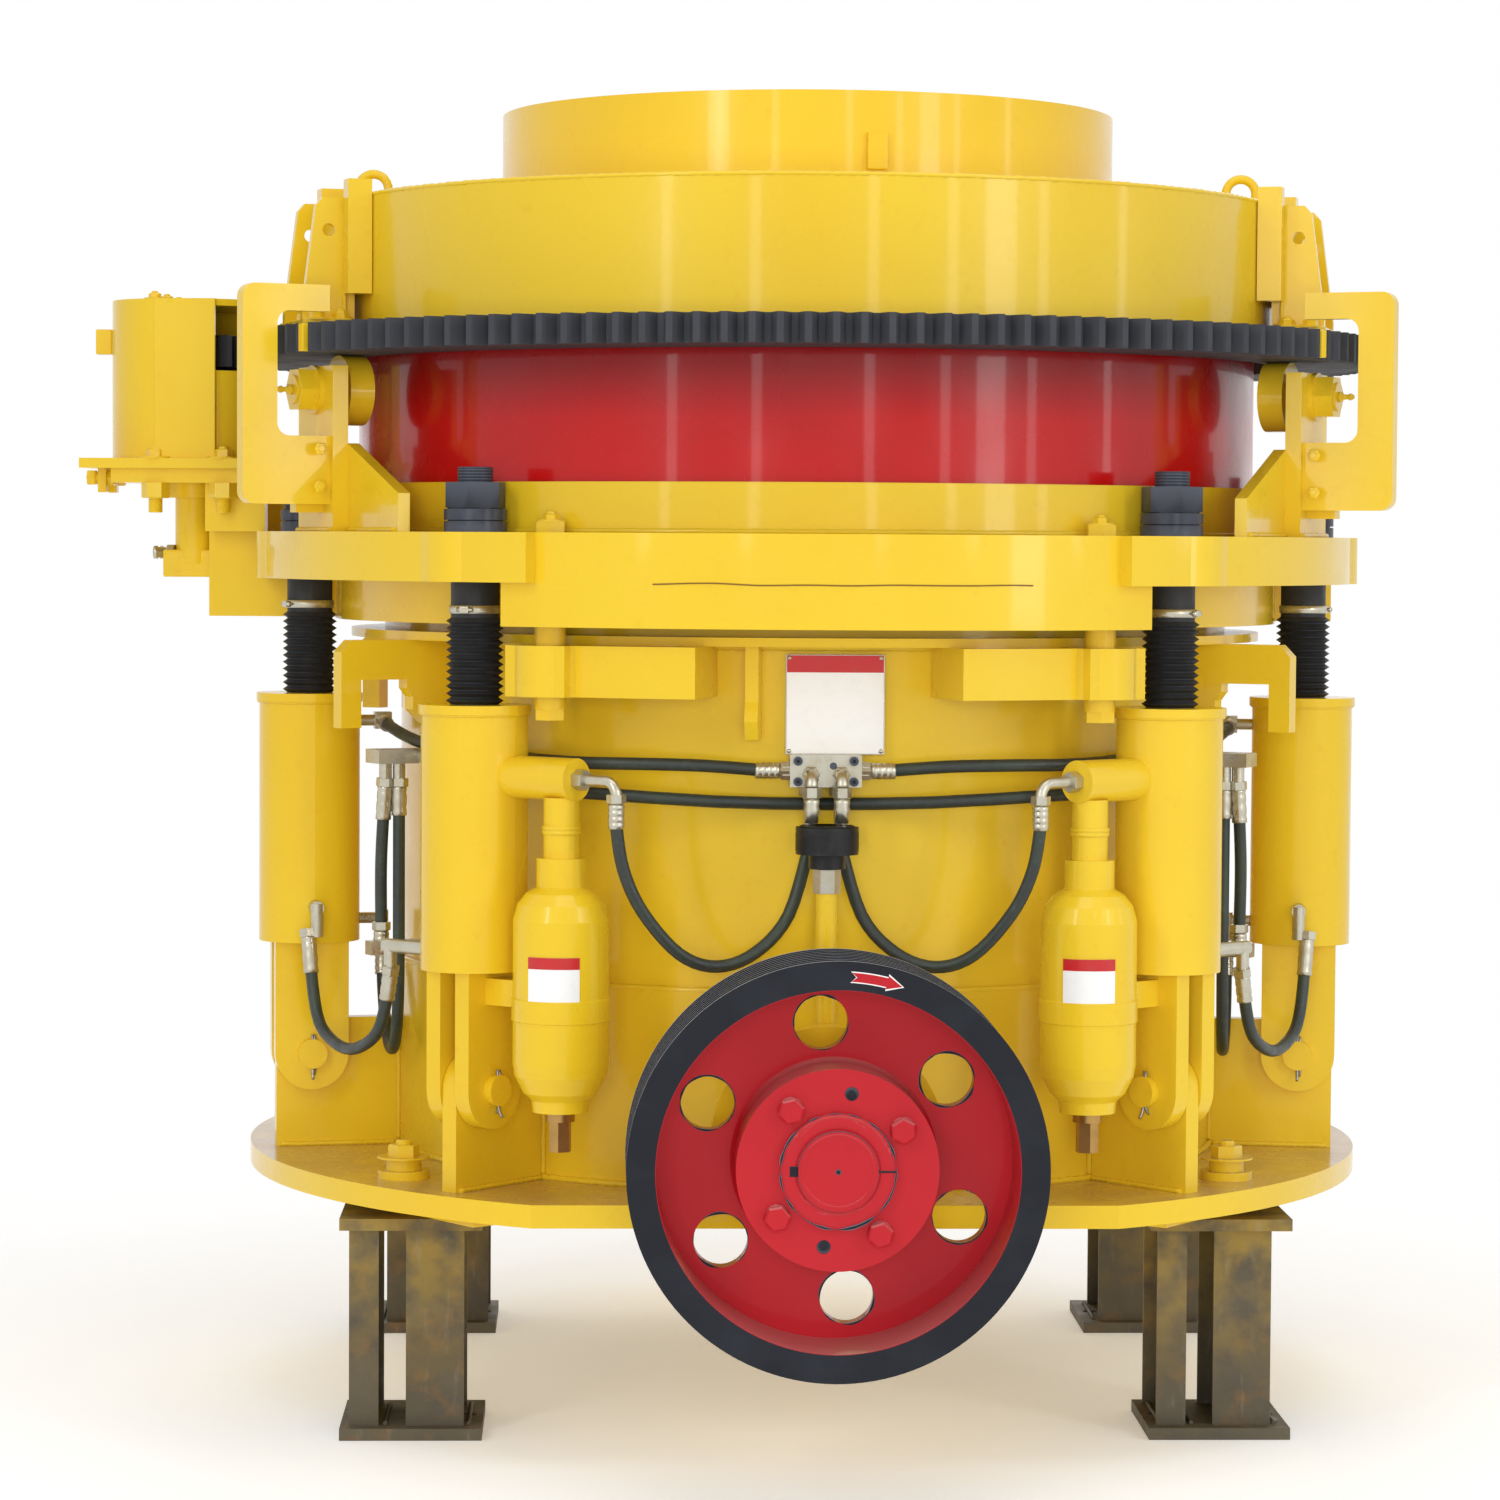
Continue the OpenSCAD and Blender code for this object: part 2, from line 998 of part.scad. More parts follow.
module gear_2d(n)
{
    rp = gear_module * n / 2;
    r0 = rp - 1.25 * gear_module;
    radii = [r0, rp - 0.6 * gear_module, rp, rp + 0.55 * gear_module, rp + gear_module];
    points = [for (i = [0 : n - 1])
                  let (mid = i * 360 / n)
                  for (k = [-1, 1])
                      for (j = [0 : 4])
                          let (r = radii[k < 0 ? j : 4 - j], a = mid + k * half_tooth(n, r))
                          [r * cos(a), r * sin(a)]];
    polygon(points);
}

module gear_ring()
{
    color(black)
        translate([0, 0, z_gear])
            linear_extrude(height = gear_t)
                difference()
                {
                    gear_2d(gear_teeth);
                    circle(gear_bore_r);
                }
}

module pinion()
{
    shaft_low = z_case - 80;
    color([0.20, 0.20, 0.22])
        on_circle(motor_az, pinion_circle_r)
        {
            translate([0, 0, z_gear - 4])
                rotate([0, 0, -motor_az + pinion_phase])
                    linear_extrude(height = gear_t + 8)
                        gear_2d(pinion_teeth);
            translate([0, 0, shaft_low])
                cylinder(r = pinion_shaft_r, h = z_gear - shaft_low);
        }
}

module drive_arms()
{
    arm_h = z_cap_top - 6 - z_gear_top;
    bar_r = cap_r + 12;
    foot_t = 14;
    gusset_t = 20;
    color(yellow)
        for (a = arm_az)
            at_az(a)
                translate([0, 0, z_gear_top])
                {
                    box_at(0, -(gear_bore_r + foot_out) / 2, 0, arm_w + 70, foot_out - gear_bore_r, foot_t);
                    box_at(0, -bar_r - 11, 0, arm_w, 22, arm_h);
                    for (s = side)
                        translate([s * (arm_w - gusset_t) / 2, 0, 0])
                            radial_plate(gusset_t)
                                difference()
                                {
                                    polygon([[bar_r + 2, 1], [foot_out - 6, 1], [foot_out - 6, foot_t + 16],
                                             [bar_r + 68, arm_h - 14], [bar_r + 56, arm_h], [bar_r + 2, arm_h]]);
                                    translate([bar_r + 46, arm_h - 56])
                                        circle(11);
                                }
                }
}

// ---- Bowl, cap and hopper ----

module thread_drum()
{
    lap = 29;
    color(red)
        translate([0, 0, z_band_top - lap])
            tube(drum_r, drum_r - skin_t, drum_h + 26 + lap);
}

module bowl()
{
    top = z_gear + 20;
    liner_r = bowl_r - 304;
    lip = drum_r - skin_t;
    color([0.75, 0.55, 0.10])
        rotate_extrude()
            polygon([[bowl_r - 115, z_bowl], [bowl_r, z_bowl],
                     [bowl_r, z_band_top - 20], [lip, z_band_top - 20],
                     [lip, z_band_top + 6], [bowl_r, z_band_top + 6],
                     [bowl_r - 20, top], [liner_r, top]]);
}

module bowl_liner()
{
    low = z_ring + 14;
    top = z_gear + 20;
    liner_r = bowl_r - 304;
    color([0.36, 0.35, 0.34])
        rotate_extrude()
            polygon([[liner_r - 36, top + 14], [liner_r + 14, top + 14], [liner_r, top],
                     [bowl_r - 115, z_bowl], [bowl_r - 115, low], [bowl_r - 145, low]]);
}

module cap()
{
    low = z_gear + 26;
    key_low = 60;
    key_w = 40;
    color(yellow)
    {
        translate([0, 0, low])
        {
            tube(cap_r, cap_r - skin_t, z_cap_top - low);
            tube(cap_r - skin_t + rest_gap, drum_r - 40, skin_t);
        }
        for (a = arm_az)
            at_az(a)
                for (s = side)
                    box_at(s * (arm_w / 2 + 6 + key_w / 2), -cap_r - 12, z_gear_top + key_low,
                           key_w, 42, z_cap_top + 24 - z_gear_top - key_low);
    }
}

module cap_plate()
{
    color(yellow)
        translate([0, 0, z_cap_top - skin_t])
            tube(cap_r - skin_t, hopper_r - skin_t, skin_t);
}

module hopper()
{
    sleeve_r = hopper_r - skin_t;
    color(yellow)
    {
        translate([0, 0, z_gear + 120])
            tube(sleeve_r, sleeve_r - skin_t, z_cap_top - z_gear - 100);
        translate([0, 0, z_cap_top])
            tube(hopper_r, sleeve_r - 1, hopper_h);
    }
}

// ---- Pulley and countershaft ----

module pulley_rim()
{
    pitch = pulley_w / (pulley_grooves + 0.5);
    color(black)
        to_front(0, z_shaft)
            translate([0, 0, pulley_back])
                rotate_extrude()
                    difference()
                    {
                        translate([rim_bore_r, 0])
                            square([pulley_r - rim_bore_r, pulley_w]);
                        for (i = [0 : pulley_grooves - 1])
                            translate([pulley_r, (i + 0.75) * pitch])
                                polygon([[1, -0.42 * pitch], [1, 0.42 * pitch],
                                         [-20, 0.24 * pitch], [-20, -0.24 * pitch]]);
                    }
}

module pulley_web()
{
    hole_circle_r = (rim_bore_r + 154) / 2;
    color(pulley_red)
        to_front(0, z_shaft)
            difference()
            {
                union()
                {
                    translate([0, 0, pulley_front - 95])
                        cylinder(r = rim_bore_r, h = 36);
                    translate([0, 0, pulley_front - 130])
                        cylinder(r = 150, h = 60);
                    translate([0, 0, pulley_back])
                        tube(rim_bore_r, rim_bore_r - 14, pulley_w);
                }
                for (i = [0 : 5])
                    rotate([0, 0, 95.7 + 60 * i])
                        translate([hole_circle_r, 0, pulley_back])
                            cylinder(r = 43, h = pulley_w);
                translate([0, 0, pulley_back - 1])
                    cylinder(r = bush_r, h = pulley_w + 2);
            }
}

module taper_bush()
{
    color(pulley_red)
        to_front(0, z_shaft)
            difference()
            {
                union()
                {
                    translate([0, 0, pulley_front - 59])
                        cylinder(r = 158, h = 30);
                    translate([0, 0, pulley_front - 130])
                        cylinder(r = bush_r, h = 112);
                }
                translate([0, 0, pulley_back])
                    cylinder(r = nose_r, h = pulley_w);
                for (a = [80, 260])
                    rotate([0, 0, a])
                        translate([121, 0, pulley_front - 60])
                            cylinder(r = 11, h = 60);
            }
}

module countershaft()
{
    color(steel)
        to_front(0, z_shaft)
        {
            translate([0, 0, 190])
                cylinder(r = shaft_r, h = pulley_back - 190);
            translate([0, 0, pulley_back])
                cylinder(r = nose_r, h = pulley_w - 12);
        }
}

// ---- Hydraulic block, breather and fittings ----

module manifold()
{
    color([0.68, 0.66, 0.60])
        box_at(0, -shell_r - 30, z_block, 118, 62, 52);
}

module manifold_ports()
{
    port_y = -shell_r - 42;
    for (s = side)
    {
        translate([s * 59, -shell_r - 40, z_block + 26])
            rotate([0, 90 * s, 0])
            {
                cylinder(r = 15, h = 12, $fn = 6);
                cylinder(r = 11, h = 36);
            }
        translate([s * 25, port_y, z_block - 95])
        {
            cylinder(r = 11, h = 95);
            translate([0, 0, 80])
                hex(32, 15);
        }
    }
}

module oil_pipe()
{
    color(yellow)
        translate([0, -breather_y, z_shaft])
            difference()
            {
                cylinder(r = 18.5, h = breather_h);
                rotate([90, 0, 0])
                    cylinder(r = housing_r, h = 100, center = true);
            }
}

module breather()
{
    color(black)
        translate([0, -breather_y, z_shaft + breather_h + 40])
        {
            cylinder(r = 30, h = 24);
            translate([0, 0, 24])
                cylinder(r = 51.5, h = 44);
        }
    color(steel)
        translate([0, -breather_y, z_shaft + breather_h])
            hex(38, 40);
}

// Elbow that turns down from the end of each cross pipe
module pipe_elbows()
{
    bend_r = 24;
    reach = bottle_off + 32;
    out = reach + 60;
    at_az(40)
        translate([0, -cyl_circle_r, z_cross])
        {
            translate([-reach, 0, 0])
                rotate([0, -90, 0])
                {
                    hex(30, 20);
                    cylinder(r = 9, h = 60);
                }
            translate([-out, 0, -bend_r])
                rotate([90, 0, 0])
                    rotate([0, 0, 90])
                        rotate_extrude(angle = 90)
                            translate([bend_r, 0])
                                circle(r = 9);
            translate([-out - bend_r, 0, -72])
                cylinder(r = 11, h = 72 - bend_r);
        }
}

// Ports on the front and side barrels, each less the barrel that it is screwed into
module barrel_ports()
{
    out = barrel_r + 100;
    difference()
    {
        union()
        {
            at_az(40)
            {
                translate([0, -cyl_circle_r, z_port_front])
                    rotate([0, 90, 0])
                        cylinder(r = 12, h = out + 11);
                translate([out, -cyl_circle_r, z_port_front - 48])
                    cylinder(r = 11, h = 58);
            }
            at_az(80)
            {
                translate([0, -cyl_circle_r, z_port_side])
                    rotate([0, -90, 0])
                        cylinder(r = 12, h = barrel_r + 40);
                translate([-barrel_r - 34, -cyl_circle_r, z_port_side - 50])
                    cylinder(r = 11, h = 58);
                for (z = [z_port_side - 28, z_port_top])
                    translate([0, -inner_line_r, z])
                        rotate([90, 0, 0])
                            cylinder(r = 10, h = cyl_circle_r - inner_line_r);
                translate([0, -inner_line_r, z_port_side - 80])
                    cylinder(r = 11, h = 66);
                box_at(0, -inner_line_r, z_port_top - 15, 30, 30, 30);
            }
        }
        for (a = [40, 80])
            on_circle(a, cyl_circle_r, z_barrel)
                cylinder(r = barrel_r, h = z_barrel_top - z_barrel);
    }
}

// Upper hose block on the shell, and the smaller one below it
module side_blocks()
{
    z_upper = z_block + 15;
    z_lower = z_barrel - 9;
    tube_r = 11;
    at_az(64)
    {
        box_at(0, -shell_r - 60, z_upper, 60, 120, 24);
        box_at(16, -shell_r - 60, z_lower, 28, 120, 24);
        for (at = [[-14, 76], [-4, 97]])
            translate([at[0], -shell_r - at[1], z_upper - 40])
                cylinder(r = tube_r, h = 60);
        translate([14, -shell_r - 97, z_lower + 4])
            cylinder(r = tube_r, h = 38);
    }
}

module hose_fittings()
{
    color(steel)
    {
        manifold_ports();
        for (m = [0, 1])
            mirror([m, 0, 0])
            {
                pipe_elbows();
                barrel_ports();
                side_blocks();
            }
    }
}

// ---- Hoses ----

hose_r = 10.5;
hose_sides = 10;

// Right-hand routes; the left-hand ones are their mirror images
loop_route = [[344, -886, 1056], [332, -882, 985], [300, -873, 915], [240, -857, 846], [178, -838, 824],
              [115, -817, 845], [60, -793, 905], [25, -772, 1020]];
top_route = [[95, -770, 1141], [200, -778, 1149], [300, -768, 1151], [400, -738, 1151], [468, -655, 1151],
             [500, -585, 1151], [600, -478, 1154], [690, -338, 1168], [747, -200, 1190], [756, -148, 1195]];
cross_half = [[679, -364, 1142], [653, -418, 1140], [600, -478, 1132], [500, -585, 1106], [468, -655, 1102],
              [371, -742, 1100], [180, -758, 1089]];
cross_route = concat(mirrored(cross_half), [[0, -745, 1085]],
                     [for (i = [len(cross_half) - 1 : -1 : 0]) cross_half[i]]);
drop_route = [[742, -366, 1090], [749, -360, 960], [749, -350, 838]];
under_route = [[718, -366, 1090], [718, -366, 900], [718, -366, 740], [723, -338, 655], [735, -262, 614],
               [749, -192, 655], [757, -146, 730], [758, -134, 790]];
u_route = [[880, -278, 820], [866, -304, 690], [840, -354, 652], [804, -422, 638], [769, -490, 655],
           [739, -542, 692], [723, -568, 784]];

function mirrored(route) = [for (p = route) [-p[0], p[1], p[2]]];

function unit(v) = v / norm(v);

function along(p, i) = unit(p[min(i + 1, len(p) - 1)] - p[max(i - 1, 0)]);

// One closed tube swept along a route, with a ring of points at each bend
module hose(p, ref = [0.1, 1, 0])
{
    n = len(p);
    rings = [for (i = [0 : n - 1])
                 let (t = along(p, i), u = unit(cross(t, ref)), v = cross(t, u))
                 for (k = [0 : hose_sides - 1])
                     let (a = 360 * k / hose_sides)
                     p[i] + hose_r * (cos(a) * u + sin(a) * v)];
    walls = [for (i = [0 : n - 2])
                 for (k = [0 : hose_sides - 1])
                     let (j = (k + 1) % hose_sides)
                     [i * hose_sides + k, i * hose_sides + j, (i + 1) * hose_sides + j, (i + 1) * hose_sides + k]];
    start = [for (k = [0 : hose_sides - 1]) hose_sides - 1 - k];
    end = [for (k = [0 : hose_sides - 1]) (n - 1) * hose_sides + k];
    color([0.10, 0.12, 0.10])
        polyhedron(points = rings, faces = concat([start], walls, [end]), convexity = 6);
}

module hose_loop_right() { hose(loop_route); }
module hose_loop_left() { hose(mirrored(loop_route)); }
module hose_top_right() { hose(top_route); }
module hose_top_left() { hose(mirrored(top_route)); }
module hose_cross() { hose(cross_route); }
module hose_drop_right() { hose(drop_route); }
module hose_drop_left() { hose(mirrored(drop_route)); }
module hose_under_right() { hose(under_route, [1, 0, 0]); }
module hose_under_left() { hose(mirrored(under_route), [1, 0, 0]); }
module hose_u_right() { hose(u_route, [0.4, 1, 0]); }
module hose_u_left() { hose(mirrored(u_route), [-0.4, 1, 0]); }

// ---- Nodes ----

stands();
pads();
main_frame();
guide_ears();
clevis_brackets();
hook_plates();
hub();
shaft_housing();
shaft_bearings();
mantle();
feed_plate();
barrels();
clevis_pins();
bellows();
accumulators();
accumulator_valves();
manifold();
hose_fittings();
oil_pipe();
breather();
hose_loop_left();
hose_loop_right();
hose_top_left();
hose_top_right();
hose_cross();
hose_drop_left();
hose_drop_right();
hose_under_left();
hose_under_right();
hose_u_left();
hose_u_right();
pulley_rim();
pulley_web();
taper_bush();
countershaft();
adjust_ring();
clamp_band();
rods();
rod_nuts();
guide_pins();
roller_posts();
roller_axles();
calipers();
motor_base();
pinion_case();
ring_motor();
gear_ring();
drive_arms();
pinion();
support_roller(roller_az[0]);  // roller_a
support_roller(roller_az[1]);  // roller_b
support_roller(roller_az[2]);  // roller_c
support_roller(roller_az[3]);  // roller_d
thread_drum();
bowl();
bowl_liner();
cap();
cap_plate();
hopper();
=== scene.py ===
import json
import math
import bpy
import bmesh
from mathutils import Matrix, Vector, noise


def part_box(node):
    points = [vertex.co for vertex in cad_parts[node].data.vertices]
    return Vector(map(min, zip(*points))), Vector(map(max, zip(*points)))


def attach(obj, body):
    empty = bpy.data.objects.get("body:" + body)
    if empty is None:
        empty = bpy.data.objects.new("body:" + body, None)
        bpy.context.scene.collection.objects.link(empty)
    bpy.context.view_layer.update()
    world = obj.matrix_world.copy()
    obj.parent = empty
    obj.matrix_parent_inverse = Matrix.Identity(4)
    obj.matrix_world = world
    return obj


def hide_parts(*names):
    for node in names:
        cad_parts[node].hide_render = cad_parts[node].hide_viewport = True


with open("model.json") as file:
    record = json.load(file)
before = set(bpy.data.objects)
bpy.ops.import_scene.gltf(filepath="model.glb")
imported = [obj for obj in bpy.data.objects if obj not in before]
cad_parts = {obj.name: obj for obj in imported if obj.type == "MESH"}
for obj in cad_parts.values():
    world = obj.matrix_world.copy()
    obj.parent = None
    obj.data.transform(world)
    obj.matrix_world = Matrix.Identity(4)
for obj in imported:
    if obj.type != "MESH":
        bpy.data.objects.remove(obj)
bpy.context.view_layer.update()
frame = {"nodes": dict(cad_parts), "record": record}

nodes = frame["nodes"]
scene = bpy.context.scene
scene.view_settings.view_transform = "Standard"

# ---- Camera: a little left of the pulley's axis, at the height of the ring
CAMERA_AT = Vector((-0.374, -7.921, 1.516))
CAMERA_YAW = math.radians(2.0)      # to the right of +Y
CAMERA_PITCH = math.radians(2.73)   # downward
CAMERA_ROLL = math.radians(0.35)
CAMERA_LENS = 104.6


def make_camera():
    data = bpy.data.cameras.new("camera")
    data.lens = CAMERA_LENS
    data.sensor_width = 36.0
    cam = bpy.data.objects.new("camera", data)
    scene.collection.objects.link(cam)
    look = Vector((math.sin(CAMERA_YAW) * math.cos(CAMERA_PITCH),
                   math.cos(CAMERA_YAW) * math.cos(CAMERA_PITCH),
                   -math.sin(CAMERA_PITCH)))
    turn = look.to_track_quat("-Z", "Y").to_matrix() @ Matrix.Rotation(CAMERA_ROLL, 3, "Z")
    cam.matrix_world = Matrix.Translation(CAMERA_AT) @ turn.to_4x4()
    scene.camera = cam


make_camera()


# ---- Materials
MM = 0.001


def srgb(r, g, b):
    def lin(c):
        c = c / 255.0
        return c / 12.92 if c <= 0.04045 else ((c + 0.055) / 1.055) ** 2.4
    return (lin(r), lin(g), lin(b), 1.0)


class Shader:
    """A Principled material with a few short ways to build its nodes."""

    def __init__(self, name, colour, rough, metal=0.0, coat=0.0, coat_rough=0.1, shine=0.5):
        self.mat = bpy.data.materials.new(name)
        self.mat.use_nodes = True
        self.tree = self.mat.node_tree
        self.out = self.tree.nodes["Principled BSDF"]
        self.out.inputs["Base Color"].default_value = colour
        self.out.inputs["Roughness"].default_value = rough
        self.out.inputs["Metallic"].default_value = metal
        self.out.inputs["Coat Weight"].default_value = coat
        self.out.inputs["Coat Roughness"].default_value = coat_rough
        self.out.inputs["Coat IOR"].default_value = 1.35
        self.out.inputs["Specular IOR Level"].default_value = shine
        self.colour = None
        self.base = colour
        self.height = None
        self.mat.diffuse_color = colour

    def add(self, kind, **values):
        node = self.tree.nodes.new(kind)
        for key, value in values.items():
            setattr(node, key, value)
        return node

    def link(self, a, b):
        self.tree.links.new(a, b)

    def where(self):
        return self.add("ShaderNodeTexCoord").outputs["Object"]

    def noise(self, scale, detail, stretch=(1, 1, 1)):
        fit = self.add("ShaderNodeMapping")
        fit.inputs["Scale"].default_value = stretch
        self.link(self.where(), fit.inputs["Vector"])
        node = self.add("ShaderNodeTexNoise")
        node.inputs["Scale"].default_value = scale
        node.inputs["Detail"].default_value = detail
        node.inputs["Roughness"].default_value = 0.55
        self.link(fit.outputs["Vector"], node.inputs["Vector"])
        return node.outputs["Fac"]

    def ramp(self, value, low, high, a=0.0, b=1.0):
        node = self.add("ShaderNodeMapRange")
        node.inputs["From Min"].default_value = low
        node.inputs["From Max"].default_value = high
        node.inputs["To Min"].default_value = a
        node.inputs["To Max"].default_value = b
        self.link(value, node.inputs["Value"])
        return node.outputs["Result"]

    def times(self, a, b):
        """The product of a value and a number, or of two values."""
        node = self.add("ShaderNodeMath", operation="MULTIPLY")
        self.link(a, node.inputs[0])
        if isinstance(b, float):
            node.inputs[1].default_value = b
        else:
            self.link(b, node.inputs[1])
        return node.outputs[0]

    def one_of(self, vector, axis):
        node = self.add("ShaderNodeSeparateXYZ")
        self.link(vector, node.inputs[0])
        return node.outputs[axis]

    def normal(self, axis):
        return self.one_of(self.add("ShaderNodeNewGeometry").outputs["Normal"], axis)

    def facing_up(self, low=0.75, high=0.98):
        return self.ramp(self.normal("Z"), low, high)

    def level(self, low, high):
        return self.ramp(self.one_of(self.where(), "Z"), low, high)

    def edges(self, low, high):
        geometry = self.add("ShaderNodeNewGeometry")
        return self.ramp(geometry.outputs["Pointiness"], low, high)

    def tint(self, mask, colour, strength):
        """Lays a colour over what is there, as far as the mask says."""
        mix = self.add("ShaderNodeMix", data_type="RGBA")
        if self.colour is None:
            mix.inputs[6].default_value = self.base
        else:
            self.link(self.colour, mix.inputs[6])
        mix.inputs[7].default_value = colour
        self.link(self.times(mask, strength), mix.inputs[0])
        self.colour = mix.outputs[2]
        self.link(self.colour, self.out.inputs["Base Color"])

    def patches(self, scale, detail, low, high, colour, strength, stretch=(1, 1, 1)):
        """Tints where a noise is above low, and wholly from high on."""
        self.tint(self.ramp(self.noise(scale, detail, stretch), low, high), colour, strength)

    def roughness(self, scale, detail, low, high):
        uneven = self.ramp(self.noise(scale, detail), 0.3, 0.7, low, high)
        self.link(uneven, self.out.inputs["Roughness"])

    def bump(self, scale, detail, strength, distance):
        node = self.add("ShaderNodeBump")
        node.inputs["Strength"].default_value = strength
        node.inputs["Distance"].default_value = distance
        self.link(self.noise(scale, detail), node.inputs["Height"])
        if self.height is not None:
            self.link(self.height, node.inputs["Normal"])
        self.height = node.outputs["Normal"]
        self.link(self.height, self.out.inputs["Normal"])


YELLOW = srgb(235, 198, 38)
YELLOW_DEEP = srgb(220, 160, 20)
YELLOW_PALE = srgb(244, 212, 74)
BROWN_DUST = srgb(176, 142, 92)
PINK_TOP_LIGHT_AND_DUST = srgb(196, 132, 130)
DRUM_SHADE = (1.72, 1.81)   # heights between which the red drum darkens with painted shade under the gear ring, in metres
STAND_DRIPS = (0.06, 0.34)  # and between which yellow paint thickens on the stands


def yellow_paint(name="yellow_paint", dust=0.0, wavy=0.35):
    s = Shader(name, YELLOW, 0.30, coat=0.55, coat_rough=0.07, shine=0.22)
    s.patches(2.2, 4.0, 0.45, 0.75, YELLOW_DEEP, 0.22)
    s.patches(0.9, 2.0, 0.48, 0.72, YELLOW_PALE, 0.25, (1, 1, 0.3))
    s.patches(38.0, 4.0, 0.62, 0.80, YELLOW_DEEP, 0.25)
    if dust:
        film = s.times(s.facing_up(), s.ramp(s.noise(5.0, 5.0), 0.24, 0.54))
        s.tint(film, BROWN_DUST, dust)
    s.bump(2.6, 2.0, wavy, 6 * MM)
    s.bump(95.0, 2.0, 0.10, 1.2 * MM)
    s.roughness(7.0, 3.0, 0.20, 0.38)
    return s.mat


def red_paint(name, colour, deep, rough, wavy, coat, dust=0.0, shade=None):
    """Pale pink lies on what faces up, as dust and as painted light from above; shade is the heights
    between which the paint darkens with painted shade.
    """
    s = Shader(name, colour, rough, coat=coat, coat_rough=0.05, shine=0.2)
    s.patches(2.5, 4.0, 0.42, 0.75, deep, 0.40)
    if dust:
        # dust and painted light from above: faces that look up turn pale pink
        s.tint(s.facing_up(0.3, 0.9), PINK_TOP_LIGHT_AND_DUST, dust)
    if shade:
        # painted shade under the gear ring: darker towards the top
        s.tint(s.level(*shade), srgb(92, 10, 16), 0.6)
    s.patches(46.0, 4.0, 0.66, 0.82, srgb(150, 40, 36), 0.35)
    s.bump(3.0, 3.0, wavy, 8 * MM)
    s.bump(90.0, 2.0, 0.12, 1.2 * MM)
    s.roughness(8.0, 3.0, rough - 0.08, rough + 0.10)
    return s.mat


def dark_iron(name, colour, rough, edge):
    s = Shader(name, colour, rough, metal=0.1, shine=0.2)
    s.patches(24.0, 5.0, 0.45, 0.75, srgb(66, 65, 64), 0.35)
    s.tint(s.edges(0.52, 0.62), edge, 0.55)
    s.bump(120.0, 4.0, 0.25, 0.8 * MM)
    s.roughness(14.0, 4.0, rough - 0.12, rough + 0.12)
    return s.mat


def machined_rim(name):
    """Near-black paint on the faces, worn to pale blue-grey on the crests of the grooves; the grooves
    and crests are made paler still as painted light from above.
    """
    s = Shader(name, srgb(25, 28, 35), 0.50, metal=0.1, shine=0.25)
    across = s.add("ShaderNodeMath", operation="ABSOLUTE")
    s.link(s.normal("Y"), across.inputs[0])
    tread = s.ramp(across.outputs[0], 0.2, 0.9, 1.0, 0.0)
    s.patches(9.0, 4.0, 0.45, 0.75, srgb(44, 48, 56), 0.5)
    # the bare grooves in pale blue-grey, lightened as painted light from above
    s.tint(tread, srgb(92, 100, 118), 0.85)
    # worn crests, paler still, partly painted light from above
    s.tint(s.times(tread, s.edges(0.50, 0.58)), srgb(168, 176, 192), 0.8)
    s.bump(120.0, 4.0, 0.2, 0.8 * MM)
    s.roughness(14.0, 4.0, 0.40, 0.62)
    return s.mat


def bare_iron(name):
    s = Shader(name, srgb(116, 112, 106), 0.5, metal=0.6)
    s.patches(6.0, 6.0, 0.42, 0.70, srgb(96, 78, 62), 0.55)
    s.bump(60.0, 5.0, 0.35, 1.5 * MM)
    s.roughness(9.0, 4.0, 0.40, 0.62)
    return s.mat


def zinc(name, colour=srgb(196, 192, 176), rough=0.30):
    s = Shader(name, colour, rough, metal=0.9)
    s.patches(40.0, 4.0, 0.45, 0.72, srgb(168, 158, 124), 0.40)
    s.bump(260.0, 3.0, 0.12, 0.3 * MM)
    s.roughness(30.0, 3.0, rough - 0.08, rough + 0.14)
    return s.mat


def rubber(name, colour, rough=0.55):
    s = Shader(name, colour, rough, shine=0.35)
    s.patches(30.0, 5.0, 0.50, 0.75, srgb(72, 72, 70), 0.30)
    s.bump(220.0, 3.0, 0.20, 0.5 * MM)
    s.roughness(18.0, 4.0, rough - 0.12, rough + 0.12)
    return s.mat


def hose_rubber(name):
    s = Shader(name, srgb(44, 50, 46), 0.45)
    s.patches(8.0, 4.0, 0.45, 0.70, srgb(62, 80, 56), 0.45)
    s.patches(90.0, 4.0, 0.55, 0.75, srgb(92, 98, 88), 0.25)
    s.bump(420.0, 2.0, 0.30, 0.4 * MM)
    s.roughness(40.0, 3.0, 0.36, 0.56)
    return s.mat


def stand_steel(name):
    s = Shader(name, srgb(92, 84, 66), 0.62, metal=0.15)
    s.patches(9.0, 6.0, 0.42, 0.68, srgb(70, 66, 60), 0.65)
    s.patches(26.0, 6.0, 0.55, 0.74, srgb(132, 96, 54), 0.55)
    over = s.times(s.level(*STAND_DRIPS), s.ramp(s.noise(14.0, 5.0), 0.34, 0.62))
    s.tint(over, srgb(178, 146, 52), 0.60)
    s.patches(60.0, 5.0, 0.60, 0.80, srgb(160, 152, 138), 0.30, (1, 1, 0.2))
    s.bump(70.0, 6.0, 0.45, 1.5 * MM)
    s.roughness(12.0, 4.0, 0.50, 0.75)
    return s.mat


def bronze(name):
    s = Shader(name, srgb(186, 146, 84), 0.34, metal=0.85)
    s.patches(34.0, 4.0, 0.46, 0.72, srgb(140, 104, 56), 0.45)
    s.bump(180.0, 3.0, 0.15, 0.4 * MM)
    return s.mat


def plain(name, colour, rough, coat=0.0, speck=0.12):
    s = Shader(name, colour, rough, coat=coat)
    s.patches(60.0, 4.0, 0.50, 0.75, srgb(120, 112, 98), speck)
    s.bump(150.0, 3.0, 0.10, 0.4 * MM)
    return s.mat


